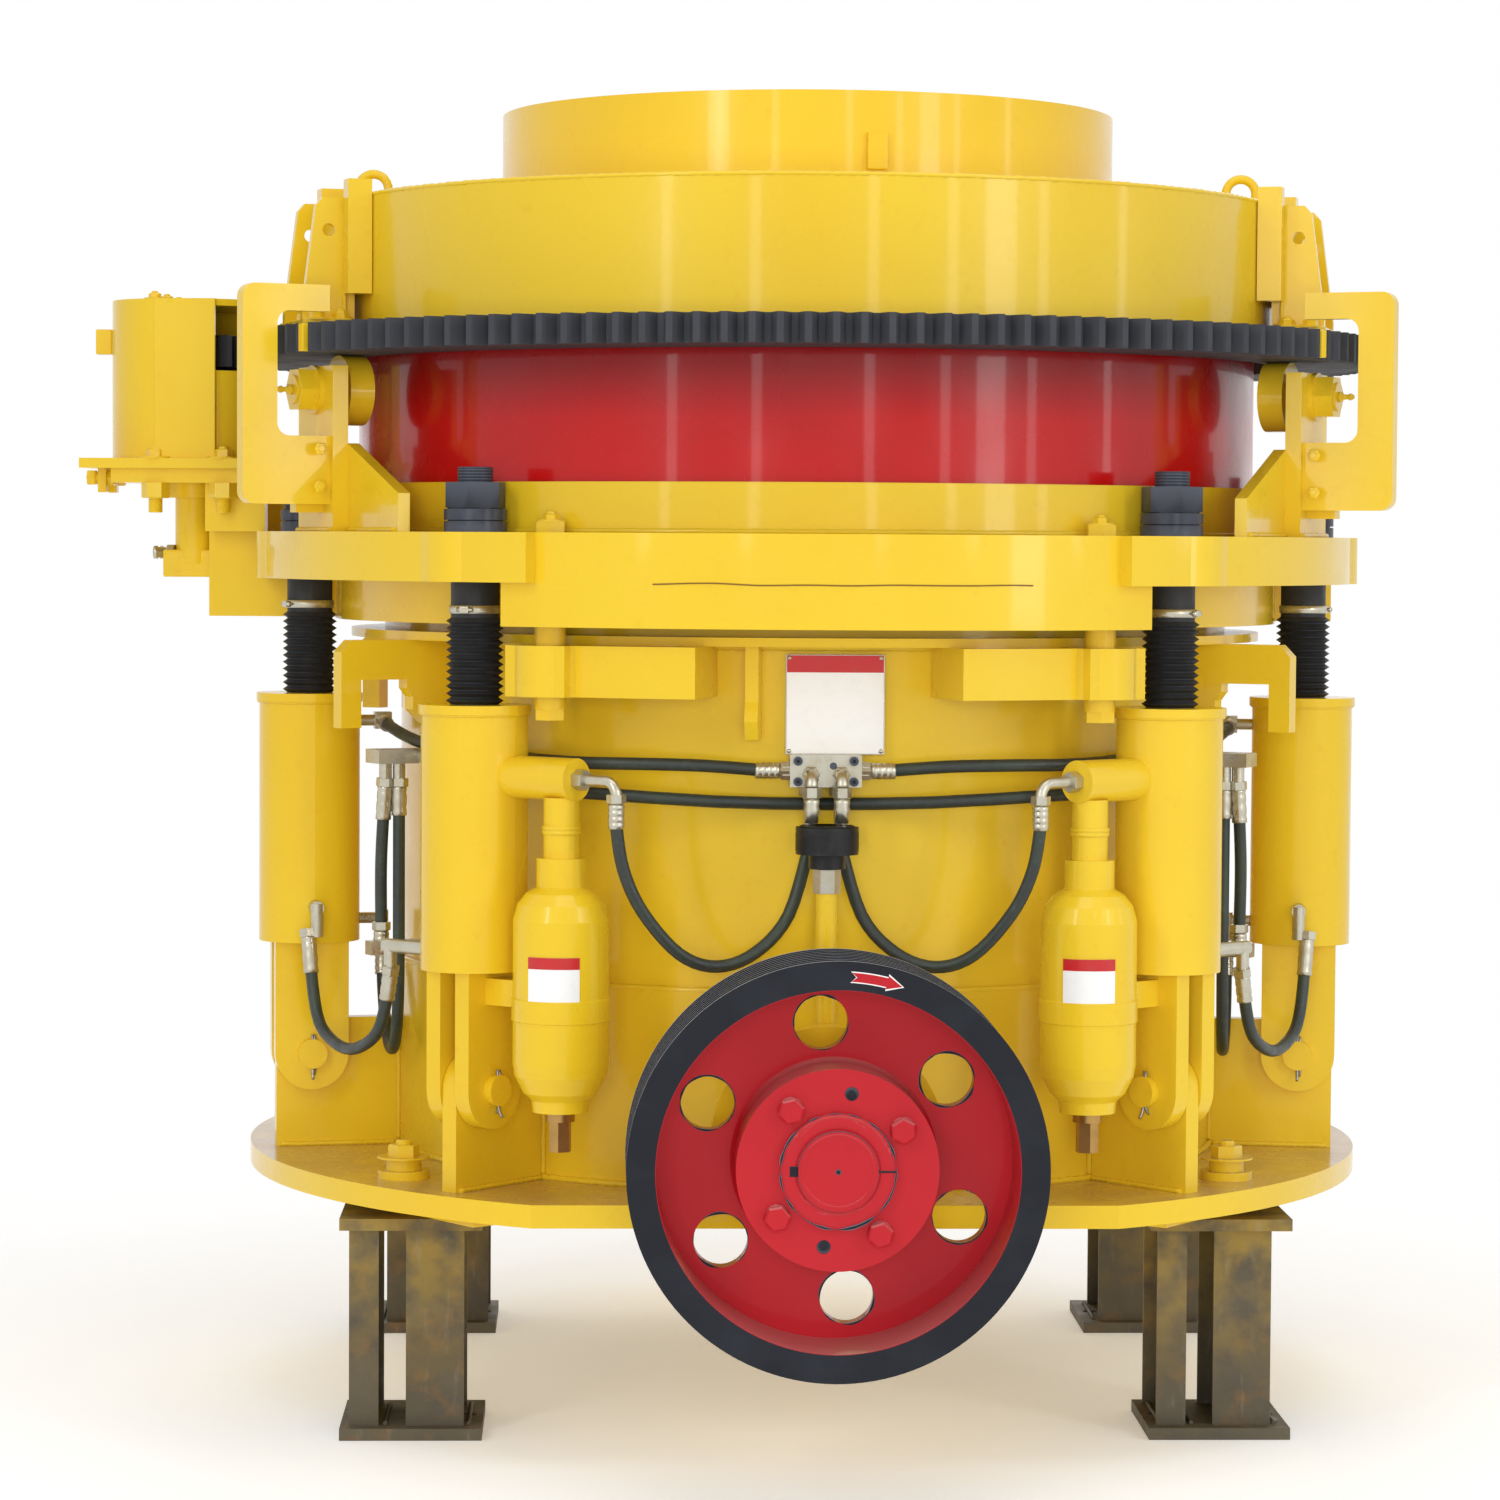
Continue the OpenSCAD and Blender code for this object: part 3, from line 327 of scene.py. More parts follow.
MATERIALS = {
    "yellow_paint": yellow_paint(),
    "yellow_dusty": yellow_paint("yellow_dusty", dust=0.85),
    # the drum's top darkens with painted shade under the gear ring
    "red_paint": red_paint("red_paint", srgb(200, 20, 22), srgb(150, 10, 16), 0.24, 0.4, 0.5,
                           shade=DRUM_SHADE),
    # the pulley's faces that look up turn pale pink: painted light from above, and dust
    "pulley_paint": red_paint("pulley_paint", srgb(186, 28, 38), srgb(160, 20, 32), 0.40, 0.25, 0.35,
                              dust=0.6),
    "stand_steel": stand_steel("stand_steel"),
    "dark_iron": dark_iron("dark_iron", srgb(22, 23, 26), 0.66, srgb(84, 86, 92)),
    "black_nut": dark_iron("black_nut", srgb(48, 51, 60), 0.38, srgb(104, 110, 124)),
    "rim_iron": machined_rim("rim_iron"),
    "bare_iron": bare_iron("bare_iron"),
    "bronze": bronze("bronze"),
    "steel": zinc("steel", srgb(170, 170, 172), 0.34),
    "zinc": zinc("zinc"),
    "rubber": rubber("rubber", srgb(40, 41, 43)),
    "hose_rubber": hose_rubber("hose_rubber"),
    "black_plastic": rubber("black_plastic", srgb(15, 15, 17), 0.36),
    "label_white": plain("label_white", srgb(246, 246, 244), 0.35, coat=0.3, speck=0.05),
    "label_red": plain("label_red", srgb(196, 30, 34), 0.35, coat=0.3),
    "weld": yellow_paint("weld", wavy=0.1),
    "seam": plain("seam", srgb(126, 88, 22), 0.6),
}


def dress(obj, material):
    obj.data.materials.clear()
    obj.data.materials.append(MATERIALS[material])


# ---- Hoses: the right-hand routes, in millimetres; the left-hand ones are mirrored
HOSE_D = 21 * MM
LOOP = [(344, -886, 1056), (332, -882, 985), (300, -873, 915), (240, -857, 846),
        (178, -838, 824), (115, -817, 845), (60, -793, 905), (25, -772, 1020)]
TOP = [(95, -770, 1141), (200, -778, 1149), (300, -768, 1151), (400, -738, 1151),
       (468, -655, 1151), (500, -585, 1151), (600, -478, 1154), (690, -338, 1168),
       (747, -200, 1190), (756, -148, 1195)]
CROSS_HALF = [(679, -364, 1142), (653, -418, 1140), (600, -478, 1132), (500, -585, 1106),
              (468, -655, 1102), (371, -742, 1100), (180, -758, 1089)]
CROSS = [(-x, y, z) for x, y, z in CROSS_HALF] + [(0, -745, 1085)] + CROSS_HALF[::-1]
DROP = [(742, -366, 1090), (749, -360, 960), (749, -350, 838)]
UNDER = [(718, -366, 1090), (718, -366, 900), (718, -366, 740), (723, -338, 655),
         (735, -262, 614), (749, -192, 655), (757, -146, 730), (758, -134, 790)]
U_BEND = [(880, -278, 820), (866, -304, 690), (840, -354, 652), (804, -422, 638),
          (769, -490, 655), (739, -542, 692), (723, -568, 784)]


def metres(route, mirror):
    return [Vector((-x if mirror else x, y, z)) * MM for x, y, z in route]


def smooth(points, steps):
    """Points of a Catmull-Rom curve through the given ones."""
    out = []
    last = len(points) - 1
    for i in range(last):
        p0, p1, p2, p3 = (points[min(max(j, 0), last)] for j in range(i - 1, i + 3))
        for k in range(steps):
            t = k / steps
            out.append(0.5 * (2 * p1 + (p2 - p0) * t + (2 * p0 - 5 * p1 + 4 * p2 - p3) * t * t
                              + (3 * p1 - p0 - 3 * p2 + p3) * t ** 3))
    out.append(points[-1])
    return out


def eased(points, rounds):
    """The same curve with its tight places opened a little; two points at each end stay."""
    for _ in range(rounds):
        inner = [b.lerp((a + c) / 2, 0.5) for a, b, c in zip(points[1:], points[2:], points[3:])]
        points = points[:2] + inner + points[-2:]
    return points


def hose(node, route, mirror, steps, rounds=0):
    """A round hose in place of its CAD node."""
    points = eased(smooth(metres(route, mirror), steps), rounds)
    data = bpy.data.curves.new(node + "_tube", "CURVE")
    data.dimensions = "3D"
    data.bevel_depth = HOSE_D / 2
    data.bevel_resolution = 6
    data.use_fill_caps = True
    spline = data.splines.new("POLY")
    spline.points.add(len(points) - 1)
    for point, place in zip(spline.points, points):
        point.co = (*place, 1.0)
    spline.use_smooth = True
    obj = bpy.data.objects.new(node + "_tube", data)
    scene.collection.objects.link(obj)
    data.materials.append(MATERIALS["hose_rubber"])
    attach(obj, "frame")
    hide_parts(node)


for hand in ("left", "right"):
    flip = hand == "left"
    hose("hose_loop_" + hand, LOOP, flip, 5)
    hose("hose_top_" + hand, TOP, flip, 4)
    hose("hose_drop_" + hand, DROP, flip, 8)
    hose("hose_under_" + hand, UNDER, flip, 5, 8)
    hose("hose_u_" + hand, U_BEND, flip, 6, 7)
hose("hose_cross", CROSS, False, 2)


# ---- Finishes of the CAD nodes, where they aren't those of their slots
NODE_FINISH = {
    "main_frame": "yellow_dusty",
    "pads": "yellow_dusty",
    "clevis_brackets": "yellow_dusty",
    "adjust_ring": "yellow_dusty",
    "pulley_rim": "rim_iron",
    "rods": "black_nut",
    "rod_nuts": "black_nut",
    "countershaft": "pulley_paint",
    "roller_axles": "yellow_paint",
}

for part in frame["record"]["subparts"]:
    name = part["node"]
    if name == "hose_fittings" or not name.startswith("hose_"):
        dress(nodes[name], NODE_FINISH.get(name, part["material_slot"]))


# ---- Floor, light and background


def seen_directly(tree):
    """One for rays from the camera, from mirrors and through glass; nought for light on things."""
    path = tree.nodes.new("ShaderNodeLightPath")
    seen = path.outputs["Is Camera Ray"]
    for kind in ("Is Glossy Ray", "Is Transmission Ray"):
        either = tree.nodes.new("ShaderNodeMath")
        either.operation = "MAXIMUM"
        tree.links.new(seen, either.inputs[0])
        tree.links.new(path.outputs[kind], either.inputs[1])
        seen = either.outputs[0]
    return seen


WORLD_LIGHT = 0.60
FLOOR_R = 4.6
FLOOR_FADE = (1.3, 4.2)  # metres from the middle between which the floor fades out
FLOOR_GLOW = 0.26        # makes up for the light that the machine keeps from it


def make_world():
    world = bpy.data.worlds.new("world")
    world.use_nodes = True
    scene.world = world
    tree = world.node_tree
    light = tree.nodes["Background"]
    light.inputs["Color"].default_value = (1, 1, 1, 1)
    light.inputs["Strength"].default_value = WORLD_LIGHT
    back = tree.nodes.new("ShaderNodeBackground")
    back.inputs["Color"].default_value = (1, 1, 1, 1)
    back.inputs["Strength"].default_value = 1.0
    mix = tree.nodes.new("ShaderNodeMixShader")
    tree.links.new(seen_directly(tree), mix.inputs[0])
    tree.links.new(light.outputs[0], mix.inputs[1])
    tree.links.new(back.outputs[0], mix.inputs[2])
    tree.links.new(mix.outputs[0], tree.nodes["World Output"].inputs["Surface"])


def make_floor():
    """A pale floor that fades into the white background away from the machine."""
    bpy.ops.mesh.primitive_circle_add(vertices=96, radius=FLOOR_R, fill_type="NGON",
                                      location=(0, -0.2, -0.0005))
    floor = bpy.context.object
    floor.name = "floor"
    mat = bpy.data.materials.new("floor")
    mat.use_nodes = True
    tree = mat.node_tree
    matt = tree.nodes["Principled BSDF"]
    matt.inputs["Base Color"].default_value = (0.92, 0.92, 0.92, 1)
    matt.inputs["Roughness"].default_value = 0.95
    matt.inputs["Specular IOR Level"].default_value = 0.0
    glow = tree.nodes.new("ShaderNodeEmission")
    glow.inputs["Strength"].default_value = FLOOR_GLOW
    lit = tree.nodes.new("ShaderNodeAddShader")
    tree.links.new(matt.outputs[0], lit.inputs[0])
    tree.links.new(glow.outputs[0], lit.inputs[1])
    clear = tree.nodes.new("ShaderNodeBsdfTransparent")
    where = tree.nodes.new("ShaderNodeTexCoord")
    size = tree.nodes.new("ShaderNodeVectorMath")
    size.operation = "LENGTH"
    tree.links.new(where.outputs["Object"], size.inputs[0])
    fade = tree.nodes.new("ShaderNodeMapRange")
    fade.interpolation_type = "SMOOTHSTEP"
    fade.inputs["From Min"].default_value, fade.inputs["From Max"].default_value = FLOOR_FADE
    tree.links.new(size.outputs["Value"], fade.inputs["Value"])
    mix = tree.nodes.new("ShaderNodeMixShader")
    tree.links.new(fade.outputs["Result"], mix.inputs[0])
    tree.links.new(lit.outputs[0], mix.inputs[1])
    tree.links.new(clear.outputs[0], mix.inputs[2])
    tree.links.new(mix.outputs[0], tree.nodes["Material Output"].inputs["Surface"])
    floor.data.materials.append(mat)


def lamp(name, place, target, width, height, power, soft=False, streak=False):
    """A rectangle of light; a soft one makes no highlight, and a streak makes nothing else."""
    data = bpy.data.lights.new(name, "AREA")
    data.shape = "RECTANGLE"
    data.size = width
    data.size_y = height
    data.energy = power
    obj = bpy.data.objects.new(name, data)
    obj.location = place
    obj.rotation_euler = (Vector(target) - Vector(place)).to_track_quat("-Z", "Y").to_euler()
    obj.visible_camera = False
    obj.visible_glossy = not soft
    obj.visible_diffuse = not streak
    scene.collection.objects.link(obj)


make_world()
make_floor()
lamp("front", (-0.5, -8.8, 1.4), (0, 0, 1.1), 3.4, 2.2, 202, soft=True)
lamp("key", (-3.4, -5.0, 4.0), (0, 0, 1.2), 0.9, 3.0, 55)
lamp("fill", (4.0, -4.6, 2.8), (0, 0, 1.2), 0.8, 3.2, 45)
lamp("top", (0.3, -1.5, 5.6), (0, -0.4, 1.6), 3.5, 2.0, 45)
lamp("back", (0.5, 5.0, 3.8), (0, 0, 1.4), 3.0, 2.0, 55)
for turn in (-34, -14, 12, 30, 52, 74):
    angle = math.radians(turn)
    lamp("window", (7 * math.sin(angle), -7 * math.cos(angle), 2.6), (0, 0, 1.8), 0.30, 2.2, 9,
         streak=True)


# ---- Mesh kit for the pieces that Blender adds; UP, DOWN and FRONT are directions
UP = Vector((0, 0, 1))
DOWN = Vector((0, 0, -1))
FRONT = Vector((0, -1, 0))


def moved(x, y, z):
    """A move by millimetres."""
    return Matrix.Translation((x * MM, y * MM, z * MM))


def circle(n):
    """Angles of n places evenly round a circle."""
    return [2 * math.pi * k / n for k in range(n)]


def wander(place):
    """Three uneven values that depend on the place alone; noise_vector gives others at each run."""
    return Vector([noise.noise(place + Vector((0, 0, shift))) for shift in (0.0, 31.7, 63.4)])


def aim(place, axis, turn=0.0):
    """A frame at a place, in metres, with its +Z along axis."""
    axis = Vector(axis).normalized()
    return (Matrix.Translation(Vector(place)) @ axis.to_track_quat("Z", "Y").to_matrix().to_4x4()
            @ Matrix.Rotation(turn, 4, "Z"))


def bearing(az, r, z):
    """A place on the machine: degrees from the front, radius and height in millimetres."""
    a = math.radians(az)
    return Vector((r * math.sin(a), -r * math.cos(a), z)) * MM


def outward(az):
    a = math.radians(az)
    return Vector((math.sin(a), -math.cos(a), 0))


def along_rim(az):
    a = math.radians(az)
    return Vector((math.cos(a), math.sin(a), 0))


def local(az, x, out, z):
    """A place near a bearing: x along the rim, out from the axis and height, in millimetres."""
    return (along_rim(az) * x + outward(az) * out + Vector((0, 0, z))) * MM


class Piece:
    """Gathers many small solids of one finish into one mesh that rides on one body."""

    def __init__(self, name, finish, body, slot=None):
        self.name = name
        self.finish = finish
        self.body = body
        self.slot = slot or finish
        self.bm = bmesh.new()

    def skin(self, a, b, soft):
        """Faces between two rings of vertices, or between a ring and a point."""
        n = max(len(a), len(b))
        for k in range(n):
            j = (k + 1) % n
            if len(a) == 1:
                corners = (a[0], b[k], b[j])
            elif len(b) == 1:
                corners = (a[k], a[j], b[0])
            else:
                corners = (a[k], a[j], b[j], b[k])
            self.bm.faces.new(corners).smooth = soft

    def lathe(self, at, profile, n=24, soft=True):
        """Turns a profile of (radius, height) in millimetres round the frame's Z."""
        rings = []
        for r, z in profile:
            if r:
                spots = [Vector((r * math.cos(t), r * math.sin(t), z)) * MM for t in circle(n)]
            else:
                spots = [Vector((0, 0, z * MM))]
            rings.append([self.bm.verts.new(at @ spot) for spot in spots])
        for a, b in zip(rings, rings[1:]):
            self.skin(a, b, soft)

    def box(self, at, size, bevel):
        """A box of the given size in millimetres, centred on the frame, with broken edges."""
        made = bmesh.ops.create_cube(self.bm, size=1.0)
        verts = made["verts"]
        scale = Matrix.Diagonal((size[0] * MM, size[1] * MM, size[2] * MM, 1))
        bmesh.ops.transform(self.bm, matrix=at @ scale, verts=verts)
        if bevel:
            edges = list(dict.fromkeys(e for v in verts for e in v.link_edges))
            bmesh.ops.bevel(self.bm, geom=edges, offset=bevel * MM, segments=2, profile=0.6,
                            affect="EDGES")

    def plate(self, at, outline, thick):
        """A flat plate cut to an outline in the frame's XY, in millimetres."""
        back, face = [[self.bm.verts.new(at @ (Vector((x, y, z)) * MM)) for x, y in outline]
                      for z in (-thick / 2, thick / 2)]
        self.bm.faces.new(back[::-1])
        self.bm.faces.new(face)
        self.skin(back, face, False)

    def sweep(self, points, radius, n, wobble=None, closed=False):
        """A tube along points in metres; wobble(i) scales the radius at each ring."""
        rings = []
        count = len(points)
        side = None
        for i, p in enumerate(points):
            before = points[i - 1] if (i or closed) else p
            after = points[(i + 1) % count] if (i + 1 < count or closed) else p
            tangent = (after - before).normalized()
            if side is None:
                side = tangent.orthogonal().normalized()
            side = (side - tangent * side.dot(tangent)).normalized()
            up = tangent.cross(side)
            r = radius * MM * (wobble(i) if wobble else 1.0)
            rings.append([self.bm.verts.new(p + r * (math.cos(t) * side + math.sin(t) * up))
                          for t in circle(n)])
        for a, b in zip(rings, rings[1:] + (rings[:1] if closed else [])):
            self.skin(a, b, True)
        if not closed:
            self.bm.faces.new(rings[0][::-1])
            self.bm.faces.new(rings[-1])

    def hex_head(self, at, across, high, chamfer=2.0):
        """A hexagon head or nut with the turned chamfer on its top corners."""
        r = across / math.sqrt(3)
        self.lathe(at, [(0, 0), (r, 0), (r, high - chamfer), (r - chamfer * 1.2, high), (0, high)],
                   6, False)

    def bolt(self, at, across, high, washer=True):
        """A hexagon head or nut with the end of its bolt, on a washer 3 mm thick."""
        if washer:
            self.lathe(at, [(0, 0), (across * 0.98, 0), (across * 0.98, 3), (0, 3)], 24, False)
            at = at @ moved(0, 0, 3)
        self.hex_head(at, across, high)
        self.lathe(at, [(across * 0.30, high - 1), (across * 0.30, high + across * 0.12),
                        (across * 0.24, high + across * 0.17), (0, high + across * 0.17)], 14, False)

    def threaded(self, at, radius, high, pitch, n):
        """A stud end with thread ridges."""
        profile = [(0, 0), (radius, 0)]
        z = 0.0
        while z + pitch < high:
            profile += [(radius, z + pitch * 0.15), (radius * 0.93, z + pitch * 0.55),
                        (radius, z + pitch)]
            z += pitch
        profile += [(radius * 0.9, high), (0, high)]
        self.lathe(at, profile, n, False)

    def weld(self, points, radius, step, closed=False):
        """A bead with the ripples of a hand-made weld, along points in metres."""
        line = []
        for a, b in zip(points, points[1:] + (points[:1] if closed else [])):
            parts = max(1, round((b - a).length / (step * MM)))
            line += [a.lerp(b, k / parts) for k in range(parts)]
        if not closed:
            line.append(points[-1])
        strayed = [p + wander(p * 60) * 0.6 * MM for p in line]
        self.sweep(strayed, radius, 7,
                   lambda i: 0.86 + 0.22 * (i % 2) + 0.12 * noise.noise(line[i] * 40), closed)

    def done(self):
        mesh = bpy.data.meshes.new(self.name)
        bmesh.ops.recalc_face_normals(self.bm, faces=self.bm.faces)
        self.bm.to_mesh(mesh)
        self.bm.free()
        obj = bpy.data.objects.new(self.name, mesh)
        scene.collection.objects.link(obj)
        mesh.materials.append(MATERIALS[self.finish])
        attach(obj, self.body)
        return obj


def arc(az_from, az_to, r, z, step):
    """Points of an arc round the machine's axis, about step degrees apart."""
    n = max(2, round(abs(az_to - az_from) / step))
    return [bearing(az_from + (az_to - az_from) * k / n, r, z) for k in range(n + 1)]


def hoop(r, z, step=1.5):
    """Points of a whole circle round the machine's axis."""
    return arc(-180, 180, r, z, step)[:-1]


def finished(*pieces):
    for piece in pieces:
        piece.done()


# ---- Sizes that the details are placed by, in millimetres, read from the frame where it has them


def low(node):
    return Vector(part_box(node)[0]) / MM


def high(node):
    return Vector(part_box(node)[1]) / MM


CYLINDERS = (-140, -80, -40, 40, 80, 140)
ROLLERS = (-150, -64.5, 64.5, 150)
ARMS = (-165, -75, 75, 165)
GUIDES = (-31, 31, 149, 211)
CYL_R = 900
PIN_Z = 606             # the cylinders' lower pins
BOTTLE_X = 190          # the accumulators, along the rim from the cylinders beside them
NUT_TOP = 80            # the tops of the rods' nuts above the ring
POST_FACE = 953         # the roller posts' outer faces
CASE_W = 157            # the calipers' covers across
SEAM_Z = 771            # the ridge round the shell
STAND_X, STAND_Y = 685, 500
ANCHOR_R = 900          # circles of the hold-down bolts, the guide pins' bolts and the eyes,
GUIDE_R = 880
EYE_R = 785
RING_LIP_R = 848        # and of the welds on the ring, round the hopper and round the cap
HOPPER_WELD_R = 552
CAP_WELD_R = 837
KEY_R = 1003            # the two keys on the gear ring's rim
Z_DECK = low("clevis_brackets").z
Z_RING_TOP = high("adjust_ring").z
Z_FRAME = high("main_frame").z
Z_GEAR = low("gear_ring").z
Z_GEAR_TOP = high("gear_ring").z
Z_CAP = high("cap").z - 24  # the cap's keys stand above its plate
Z_BARREL_TOP = high("barrels").z
SHELL_R = 730
FOOT_R = 740
PULLEY_FRONT = -low("pulley_rim").y
Z_SHAFT = 545.0
BORE_R = 283.0          # the rim's bore at its face
CAD_BORE_R = 269.0      # and at the CAD web, where the photo has it straight
HOLE_R = 43.0
HOLE_CIRCLE = 218.5
FIRST_HOLE = 95.7       # degrees from +X
CAD_WEB_FRONT = 59.0    # depths behind the pulley's face: of the CAD web's front,
WEB_FRONT = 146         # of the same where the photo has it,
CAD_HUB_BACK = 130      # of the back of the CAD web's hub
HUB_BACK = 200          # and of the same on the web that is set back
WEB_THICK = 36
BOSS_R = 157
BUSH_BOLTS_R = 119


# ---- Pulley


def on_pulley(angle, r, out):
    """A frame on the pulley's face: degrees from +X, radius, and millimetres behind the face."""
    a = math.radians(angle)
    place = Vector((r * math.cos(a), -PULLEY_FRONT + out, Z_SHAFT + r * math.sin(a))) * MM
    return aim(place, FRONT)


def arrow_outline(tail, neck, mid, half, head, grow):
    """A bent arrow on the pulley's face, wider by grow all round.

    The angles of its tail and neck are in degrees; mid is the radius of its middle line, half and
    head are half the widths of shaft and head, all in millimetres."""
    more = math.degrees(grow / mid)
    steps = 8
    turns = [tail + more + (neck - tail - more) * k / steps for k in range(steps + 1)]
    barb = head + grow * 1.6
    corners = ([(a, mid + half + grow) for a in turns]
               + [(neck, mid + barb), (neck - 4.6 - more * 1.6, mid), (neck, mid - barb)]
               + [(a, mid - half - grow) for a in reversed(turns)] + [(tail - 1.6 + more, mid)])
    return [(r * math.cos(math.radians(a)), r * math.sin(math.radians(a))) for a, r in corners]


def pulley_web():
    """The CAD web, set back in the rim on a boss of the bush's size, with the bore made straight."""
    piece = Piece("pulley_dish", "pulley_paint", "pulley")
    node = nodes["pulley_web"]
    piece.bm.from_mesh(node.data)
    piece.bm.transform(node.matrix_world)
    face = -PULLEY_FRONT * MM
    axis = Z_SHAFT * MM
    for vert in piece.bm.verts:
        x, z = vert.co.x, vert.co.z - axis
        depth = (vert.co.y - face) / MM
        r = math.hypot(x, z) / MM
        if abs(r - CAD_BORE_R) < 1.5 and depth < CAD_WEB_FRONT + 1:
            grow = (BORE_R - 0.6) / r
            x, z = x * grow, z * grow
        for was, now in ((CAD_WEB_FRONT, WEB_FRONT), (CAD_HUB_BACK, HUB_BACK),
                         (CAD_WEB_FRONT + WEB_THICK, WEB_FRONT + WEB_THICK)):
            if abs(depth - was) < 1:
                depth = now
        vert.co = (x, face + depth * MM, z + axis)
    for side in piece.bm.faces:
        side.smooth = True
    piece.lathe(on_pulley(0, 0, WEB_FRONT), [(BOSS_R + 8, -1), (BOSS_R + 3, 3), (BOSS_R, 10),
                                             (BOSS_R, WEB_FRONT - CAD_WEB_FRONT)], 96)
    obj = piece.done()
    obj.data.set_sharp_from_angle(angle=math.radians(35))
    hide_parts("pulley_web")


def ragged(piece, centre, r, out, size, seed):
    """A thin dark line of uneven width on the pulley, round a circle at the edge of a hole or a part."""
    points = [Vector((centre[0] + r * math.cos(a), -PULLEY_FRONT + out,
                      Z_SHAFT + centre[1] + r * math.sin(a))) * MM for a in circle(96)]
    start = Vector((seed, 0, 0))
    piece.sweep(points, size, 6,
                lambda i: max(0.12, 0.8 + 2.2 * noise.noise(points[i] * 45 + start)), True)


def pulley_details():
    pulley_web()
    bolts = Piece("bush_bolts", "pulley_paint", "pulley")
    for angle in (32, 128, 218, 304):
        at = on_pulley(angle, BUSH_BOLTS_R, 29)
        bolts.lathe(at, [(0, 0), (21, 0), (21, 2.5), (0, 2.5)])
        bolts.hex_head(at @ moved(0, 0, 2.5) @ Matrix.Rotation(angle, 4, "Z"), 37, 18, 3)
    bolts.done()
    # Near-black discs and strips where the bush has empty holes, its split and its keyway: painted shade
    # in place of their depth.
    dark = Piece("bush_gaps", "rim_iron", "pulley")
    dark.lathe(on_pulley(0, 0, 11.6), [(0, 0), (4.5, 0), (4.5, 0.6), (0, 0.6)], 20)
    for angle in (80, 260):
        dark.lathe(on_pulley(angle, BUSH_BOLTS_R, 31), [(0, 0), (12.5, 0), (12.5, 1.0), (0, 1.0)], 20)
    at = on_pulley(0, 0, 15.6)
    dark.box(at @ moved(76, 0, 0), (26, 3, 1.2), 0)
    dark.box(at @ moved(-68, 0, 0), (14, 16, 1.2), 0)
    ragged(dark, (0, 0), 90, 17.6, 1.5, 0)
    for turn in range(6):
        a = math.radians(FIRST_HOLE + 60 * turn)
        ragged(dark, (HOLE_CIRCLE * math.cos(a), HOLE_CIRCLE * math.sin(a)), HOLE_R + 0.3,
               WEB_FRONT + 0.2, 1.3, turn + 1)
    dark.lathe(on_pulley(0, 0, 17.2), [(60.6, -0.6), (61.2, 0.8), (62.4, 0.8), (63, -0.6)], 64)
    dark.done()
    rings = Piece("bush_rings", "pulley_paint", "pulley")
    rings.lathe(on_pulley(0, 0, 12), [(52, -1), (54, 1.2), (58, 1.2), (60, -1)], 64)
    rings.lathe(on_pulley(0, 0, 18), [(64, -1), (66, 1.5), (86, 1.5), (88, -1)], 64)
    rings.done()
    for name, finish, grow, lift in (("arrow_edge", "label_white", 1.8, -0.1),
                                     ("turning_arrow", "pulley_paint", 0.0, -0.9)):
        arrow = Piece(name, finish, "pulley", "pulley_paint")
        arrow.plate(on_pulley(0, 0, lift), arrow_outline(86.6, 76.2, 304.0, 7.0, 10.5, grow), 1.0)
        arrow.done()


# ---- Release cylinders, their boots and pins


def cylinder_details():
    threads = Piece("rod_threads", "black_nut", "lift_ring", "dark_iron")
    bands = Piece("boot_bands", "zinc", "frame")
    cotters = Piece("cotter_pins", "steel", "frame")
    collars = Piece("neck_collars", "yellow_paint", "frame")
    beads = Piece("cylinder_welds", "weld", "frame", "yellow_paint")
    for az in CYLINDERS:
        threads.threaded(aim(bearing(az, CYL_R, Z_RING_TOP + NUT_TOP), UP), 30.0, 27.5, 5.0, 24)
        at = aim(bearing(az, CYL_R, Z_BARREL_TOP + 150), UP)
        bands.lathe(at, [(41, 0), (42.6, 0.5), (42.6, 13.5), (41, 14)], 40)
        ear = at @ Matrix.Rotation(math.radians(az + 200), 4, "Z") @ moved(0, -46, 7)
        bands.box(ear, (16, 10, 11), 1.5)
        bands.lathe(ear @ Matrix.Rotation(math.radians(90), 4, "Y"),
                    [(0, -14), (4, -14), (4, 14), (0, 14)], 12)
        ring = [bearing(az, CYL_R, Z_BARREL_TOP - 16) + Vector((math.cos(t), math.sin(t), 0)) * 90 * MM
                for t in circle(48)]
        beads.weld(ring, 2.6, 4.0, True)
        for side in (-1, 1):
            at = aim(local(az, side * 61, CYL_R, PIN_Z), along_rim(az) * side)
            for x, leg in ((0, ((34, -8), (22, -7), (-24, -7), (-38, -2), (-44, 3))),
                           (4, ((34, -8), (22, -5), (-24, -6), (-36, -12), (-40, -20)))):
                cotters.sweep([at @ (Vector((x, y, z)) * MM) for y, z in leg], 2.6, 8)
        for side in (-1, 1):
            x = side * 18
            beads.weld([local(az, x, out, Z_DECK + 3) for out in range(748, 955, 12)], 4.5, 5.0)
            beads.weld([local(az, x, FOOT_R + 2, z) for z in range(int(Z_DECK) + 10, 672, 14)], 4.5, 5.0)
    for side in (-1, 1):
        neck = local(40 * side, -BOTTLE_X * side, CYL_R, 1045)
        collars.lathe(aim(neck, UP),
                      [(27, -8), (32, -7), (32, -1), (30.5, 0), (32, 1), (32, 7), (27, 8)], 40)
    finished(threads, bands, collars, cotters, beads)


# ---- Frame: welds, bolts and bare plates


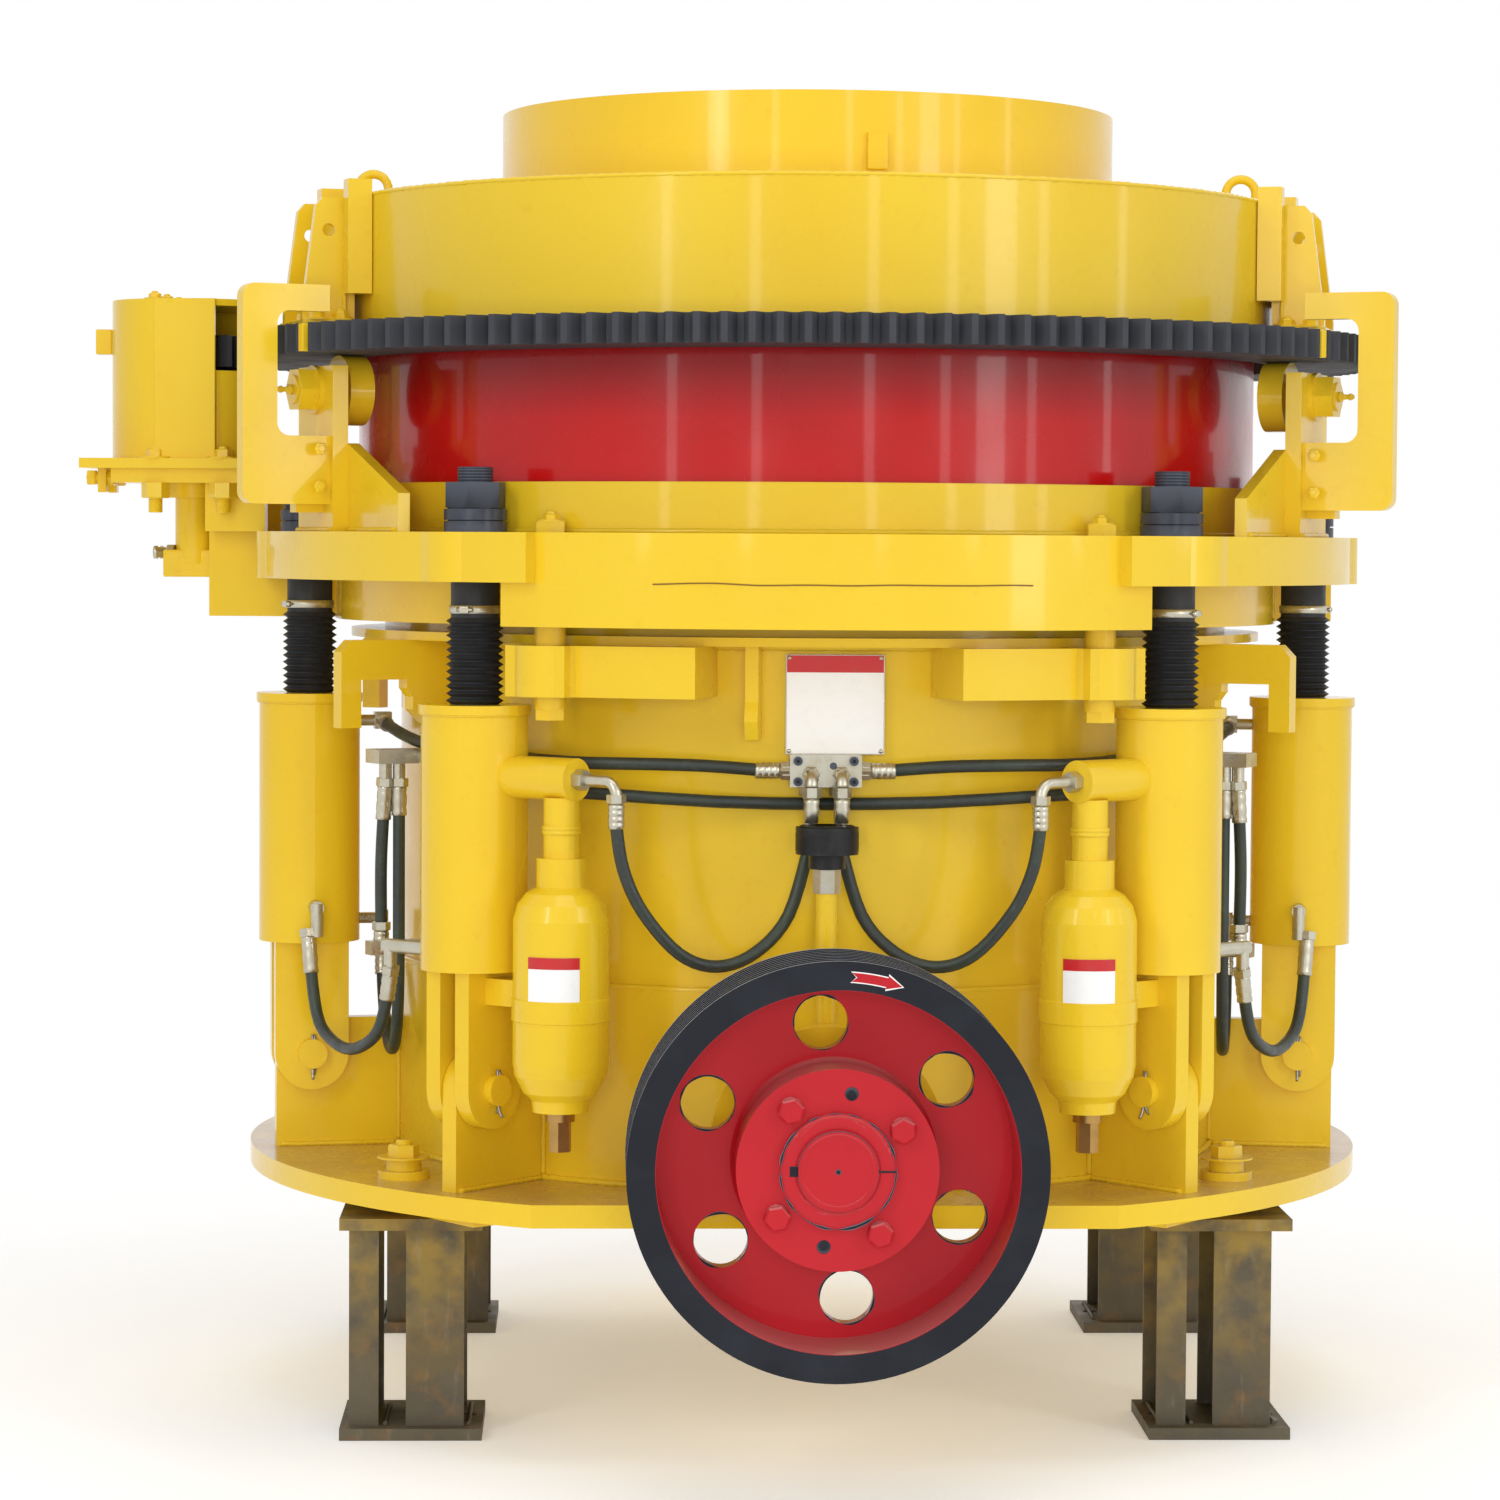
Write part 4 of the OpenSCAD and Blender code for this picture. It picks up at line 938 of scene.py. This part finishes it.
def frame_details():
    beads = Piece("frame_welds", "weld", "frame", "yellow_paint")
    beads.weld(hoop(FOOT_R + 3, Z_DECK + 3), 6.0, 9.0, True)
    beads.weld(hoop(SHELL_R + 3, Z_FRAME - 18), 5.0, 9.0, True)
    seam = Piece("frame_seam", "yellow_paint", "frame")
    seam.sweep(hoop(SHELL_R + 5, SEAM_Z, 2.0), 6.0, 8, None, True)
    bolts = Piece("hold_down_bolts", "yellow_dusty", "frame", "yellow_paint")
    for az in (-129, -51, 51, 129):
        bolts.bolt(aim(bearing(az, ANCHOR_R, Z_DECK + 34), UP, math.radians(az)), 46, 20)
    finished(beads, seam, bolts)


def bare_plate(name, at, width, height, band, bend=None):
    """An unprinted plate with a red band along its top; bend is the radius it is curved to."""
    white = Piece(name + "_plate", "label_white", "frame", "black_plastic")
    red = Piece(name + "_band", "label_red", "frame", "red_paint")
    steps = 16
    top = height / 2
    for piece, bottom, lift in ((white, -top, 0.8), (red, top - band, 1.3)):
        for front, depth in ((True, lift), (False, 0.0)):
            grid = []
            for k in range(steps + 1):
                x, y = width * (k / steps - 0.5), depth
                if bend:
                    turn = x / bend
                    x, y = (bend + depth) * math.sin(turn), (bend + depth) * math.cos(turn) - bend
                grid.append([piece.bm.verts.new(at @ (Vector((x, z, y)) * MM)) for z in (bottom, top)])
            for a, b in zip(grid, grid[1:]):
                piece.bm.faces.new((a[0], b[0], b[1], a[1]) if front else (a[1], b[1], b[0], a[0]))
    finished(white, red)


BOTTLE_R = 79.3


def plates():
    board = Piece("plate_board", "zinc", "frame")
    at = aim(Vector((17, -SHELL_R - 11, 1249)) * MM, FRONT)
    board.box(at @ moved(0, 0, -1.5), (164, 166, 2.4), 0.8)
    for x in (-60, 60):
        board.box(at @ moved(x, 0, -10), (14, 90, 16), 1.0)
    for x in (-76, 76):
        for y in (-77, 77):
            board.lathe(at @ moved(x, y, 0), [(0, 2.6), (3.4, 1.8), (4.2, 0)], 12)
    board.done()
    bare_plate("front", at, 160, 162, 28)
    for name, side, turned in (("bottle_left", -1, -0.16), ("bottle_right", 1, -0.10)):
        centre = local(40 * side, -BOTTLE_X * side, CYL_R, 806)
        face = Vector((turned, -1, 0)).normalized()
        bare_plate(name, aim(centre + face * BOTTLE_R * MM, face), 88, 72, 19, BOTTLE_R)


# ---- Adjustment ring, posts, calipers and guide pins


def ring_details():
    beads = Piece("ring_welds", "weld", "lift_ring", "yellow_paint")
    beads.weld(hoop(RING_LIP_R, Z_RING_TOP + 3), 5.0, 9.0, True)
    seam = Piece("ring_seam", "seam", "lift_ring", "yellow_paint")
    line = arc(-17.5, 20, 955.4, Z_RING_TOP - 82, 0.5)
    seam.sweep([p + Vector((0, 0, noise.noise(p * 9) * 4 * MM)) for p in line], 1.2, 6)
    seam.done()
    bolts = Piece("ring_bolts", "yellow_paint", "lift_ring")
    nipples = Piece("grease_nipples", "yellow_paint", "lift_ring")
    for az in GUIDES:
        bolts.bolt(aim(bearing(az, GUIDE_R, Z_RING_TOP + 18), UP), 24, 10)
    for az in ROLLERS:
        toward = (1 if az > 0 else -1) * (-1 if abs(az) > 90 else 1)
        nipples.lathe(aim(bearing(az, POST_FACE + 40, Z_GEAR - 60), outward(az)) @ moved(0, 0, 4),
                      [(0, 0), (9, 0), (9, 6), (5, 8), (4, 16), (6, 18), (6, 22), (3, 27), (0, 27)], 14)
        for z in (Z_RING_TOP + 76, Z_RING_TOP + 140):
            for x, way in ((CASE_W / 2, -toward), (CASE_W / 2 - 42, toward)):
                bolts.bolt(aim(local(az, -toward * x, POST_FACE + 25, z), along_rim(az) * way),
                           20, 10, False)
        for x in (-60, 60):
            bolts.bolt(aim(local(az, x, POST_FACE - 52, Z_RING_TOP + 96), outward(az) * -1), 22, 10)
        for weld in ([local(az, x, POST_FACE + 3, Z_RING_TOP + 3) for x in range(-78, 79, 12)],
                     [local(az, -toward * x, 927, Z_RING_TOP + 3) for x in range(84, 300, 12)]):
            beads.weld(weld, 4.5, 5.0)
    finished(beads, bolts, nipples)


# ---- Drive ring arms, cap and hopper


def drive_details():
    bolts = Piece("arm_bolts", "yellow_paint", "drive_ring")
    beads = Piece("arm_welds", "weld", "drive_ring", "yellow_paint")
    keys = Piece("rim_keys", "yellow_paint", "drive_ring")
    for az in ARMS:
        for x in (-108, 0, 108):
            for r in (880, 922):
                if x or r > 900:
                    bolts.bolt(aim(local(az, x, r, Z_GEAR_TOP + 14), UP), 24, 12)
        for side in (-1, 1):
            beads.weld([local(az, side * 91, r, Z_GEAR_TOP + 17) for r in range(856, 944, 10)], 4.0, 5.0)
            beads.weld([local(az, side * 93, 870, z)
                        for z in range(int(Z_GEAR_TOP) + 22, int(Z_CAP) - 20, 12)], 3.6, 5.0)
    for az in (-59.0, 56.0):
        keys.box(aim(bearing(az, KEY_R, Z_GEAR + 24.5), outward(az)), (16, 47, 44), 2.0)
    finished(bolts, beads, keys)


def cap_details():
    beads = Piece("cap_welds", "weld", "bowl", "yellow_paint")
    beads.weld(hoop(HOPPER_WELD_R, Z_CAP + 3, 2.0), 5.0, 9.0, True)
    beads.weld(hoop(CAP_WELD_R, Z_CAP - 1), 4.5, 9.0, True)
    eyes = Piece("lifting_eyes", "yellow_paint", "bowl")
    for az in (-92, 88):
        centre = bearing(az, EYE_R, Z_CAP + 36)
        loop = [centre + (outward(az) * math.cos(t) + Vector((0, 0, math.sin(t)))) * 27 * MM
                for t in circle(28)]
        eyes.sweep(loop, 8.5, 10, None, True)
        eyes.lathe(aim(bearing(az, EYE_R, Z_CAP), UP), [(0, 0), (22, 0), (22, 7), (13, 11), (0, 11)], 24)
    tab = Piece("hopper_tab", "yellow_paint", "bowl")
    tab.box(aim(bearing(9.5, 556, Z_CAP + 62), outward(9.5)), (34, 62, 12), 2.0)
    finished(beads, eyes, tab)


# ---- Drive unit on the left
MOTOR_AZ = -97
MOTOR_R = 1127


def motor_details():
    z_case = low("pinion_case").z
    z_top = high("pinion_case").z
    bolts = Piece("motor_bolts", "yellow_paint", "lift_ring")
    for x in (-140, 140):
        for r in (MOTOR_R - 84, MOTOR_R + 40):
            bolts.bolt(aim(local(MOTOR_AZ, x, r, z_case), UP), 30, 14)
            under = aim(local(MOTOR_AZ, x, r, z_case - 44), DOWN)
            bolts.hex_head(under, 44, 28)
            bolts.threaded(under @ moved(0, 0, 28), 13, 26, 3.0, 16)
    for x in (-100, 0, 100):
        bolts.bolt(aim(local(MOTOR_AZ, x, MOTOR_R + 50, z_top), UP), 20, 9)
    tabs = Piece("motor_tabs", "yellow_paint", "lift_ring")
    tabs.box(aim(local(MOTOR_AZ, 0, MOTOR_R + 166, z_case + 215), UP), (30, 36, 46), 3)
    for side in (-1, 1):
        tabs.box(aim(local(MOTOR_AZ, side * 40, MOTOR_R + 160, z_case - 34), UP), (16, 40, 54), 2)
    screws = Piece("adjusting_screw", "yellow_paint", "lift_ring")
    for side in (-1, 1):
        at = aim(local(MOTOR_AZ, side * 40, MOTOR_R + 172, z_case - 34), outward(MOTOR_AZ) * -1)
        screws.threaded(at, 10, 60, 4.0, 14)
        screws.hex_head(at @ moved(0, 0, -16), 26, 16)
        screws.hex_head(at @ moved(0, 0, 22), 28, 12)
    fittings = Piece("motor_fittings", "zinc", "lift_ring")
    for x, out in ((-24, 34), (18, 36)):
        at = aim(local(MOTOR_AZ, x, MOTOR_R + out - 4, z_case - 170), outward(MOTOR_AZ))
        fittings.hex_head(at, 28, 14)
        fittings.lathe(at, [(0, 14), (10, 14), (10, 30), (12, 31), (12, 38), (0, 38)], 16)
    block = Piece("motor_block", "yellow_paint", "lift_ring")
    block.box(aim(local(MOTOR_AZ, 0, MOTOR_R + 8, z_case - 190), UP), (92, 62, 50), 4)
    for x in (-28, 28):
        for z in (-14, 14):
            at = aim(local(MOTOR_AZ, x, MOTOR_R + 39, z_case - 190 + z), outward(MOTOR_AZ))
            block.lathe(at, [(0, 0), (6.5, 0), (6.5, 7), (0, 7)], 14)
    finished(bolts, tabs, screws, fittings, block)


# ---- Hydraulics on the front and sides
SLEEVE = [(0, 0), (12, 0), (13.5, 4), (13.5, 9), (12.4, 10), (13.5, 11), (13.5, 19), (12.4, 20),
          (13.5, 21), (13.5, 29), (12.4, 30), (13.5, 31), (13.0, 40), (10.4, 41), (0, 41)]
CRIMPS = (13.4, 13.4, 12.4, 13.4)   # radii along a sleeve that is bent with its hose


def ferrule(piece, place, axis):
    """A straight crimped sleeve with its nut, from the nut's top along the axis."""
    at = aim(place, axis)
    piece.lathe(at, SLEEVE, 20)
    piece.hex_head(at @ moved(0, 0, -15), 28, 15, 1.5)


def sleeve_on_hose(piece, route, mirror, end, nut):
    """The crimped sleeve over the start or the end of a hose, bent with it."""
    points = smooth(metres(route, mirror), 6)
    if end:
        points.reverse()
    line = [points[0]]
    run = 0.0
    for a, b in zip(points, points[1:]):
        for k in range(1, 5):
            line.append(a.lerp(b, k / 4))
        run += (b - a).length
        if run > 40 * MM:
            break
    piece.sweep(line, 1.0, 16, lambda i: CRIMPS[i % 4])
    if nut:
        inward = (points[1] - points[0]).normalized()
        piece.hex_head(aim(points[0] - inward * 14 * MM, inward), 28, 15, 1.5)


def hydraulics():
    sleeves = Piece("hose_sleeves", "zinc", "frame")
    for mirror in (False, True):
        for route, end, nut in ((TOP, True, False), (DROP, False, True), (UNDER, False, True),
                                (UNDER, True, True), (U_BEND, False, True), (U_BEND, True, True)):
            sleeve_on_hose(sleeves, route, mirror, end, nut)
        side = -1 if mirror else 1
        elbow, inner, outer = [Vector((side * x, y, z)) * MM for x, y, z in (LOOP[0], TOP[0], DROP[-1])]
        ferrule(sleeves, elbow + Vector((0, 0, 36 * MM)), DOWN)
        ferrule(sleeves, inner - Vector((side * 20 * MM, 0, 0)), (side, 0, 0))
        ferrule(sleeves, outer, DOWN)
    for end in (False, True):
        sleeve_on_hose(sleeves, CROSS, False, end, False)
    screws = Piece("manifold_screws", "black_nut", "frame", "dark_iron")
    face = low("manifold").y
    for x in (-46, 46):
        for z in (1124, 1158):
            screws.lathe(aim(Vector((x, face, z)) * MM, FRONT),
                         [(0, 3), (3, 3), (3, 7), (7.5, 7), (7.5, 0)], 18, False)
    for x, z in ((-18, 1128), (12, 1150), (28, 1126)):
        screws.lathe(aim(Vector((x, face, z)) * MM, FRONT), [(0, 0.4), (6, 0.4), (6, 0)], 18, False)
    elbows = Piece("manifold_elbows", "zinc", "frame")
    z_elbow, bend_r = 1136, 20
    for x in (-25, 25):
        elbows.hex_head(aim(Vector((x, face, z_elbow)) * MM, FRONT), 25, 12)
        bend = [Vector((x, face - 12 - bend_r * math.sin(t), z_elbow - bend_r * (1 - math.cos(t)))) * MM
                for t in (math.pi / 2 * k / 8 for k in range(9))]
        elbows.sweep(bend, 10.5, 14)
        end = Vector((x, face - 12 - bend_r, z_elbow - bend_r))
        elbows.hex_head(aim(end * MM, DOWN), 27, 18)
        elbows.lathe(aim((end + DOWN * 18) * MM, DOWN),
                     [(0, 0), (12, 0), (13.5, 6), (12, 12), (13.5, 18), (12, 24), (11, 40), (0, 40)], 18)
    bottom, top = low("breather"), high("breather")
    x, y = (bottom.x + top.x) / 2, (bottom.y + top.y) / 2
    elbows.hex_head(aim(Vector((x, y, bottom.z)) * MM, UP), 39.4, 40.4, 1.5)
    breather = Piece("breather_knurls", "black_plastic", "frame")
    ring = aim(Vector((x, y, top.z - 44)) * MM, UP)
    for turn in circle(48):
        breather.box(ring @ Matrix.Rotation(turn, 4, "Z") @ moved(50.6, 0, 21), (2.4, 3.2, 30), 0.6)
    breather.lathe(ring, [(0, 44.2), (38, 44.2), (44, 46.5), (46, 44.2), (0, 44)], 48)
    finished(sleeves, screws, elbows, breather)


def stand_details():
    beads = Piece("stand_welds", "stand_steel", "frame")
    for sx in (-1, 1):
        for sy in (-1, 1):
            for z in (22, 354):
                for dx in (-97, -44, 44, 97):
                    beads.weld([Vector((sx * STAND_X + dx, sy * STAND_Y + y, z)) * MM
                                for y in range(-90, 91, 15)], 4.0, 6.0)
    nuts = Piece("stand_nuts", "bare_iron", "frame")
    nuts.bolt(aim(Vector((764, -560, 20)) * MM, UP), 30, 14)
    finished(beads, nuts)


for details in (pulley_details, cylinder_details, frame_details, plates, ring_details, drive_details,
                cap_details, motor_details, hydraulics, stand_details):
    details()
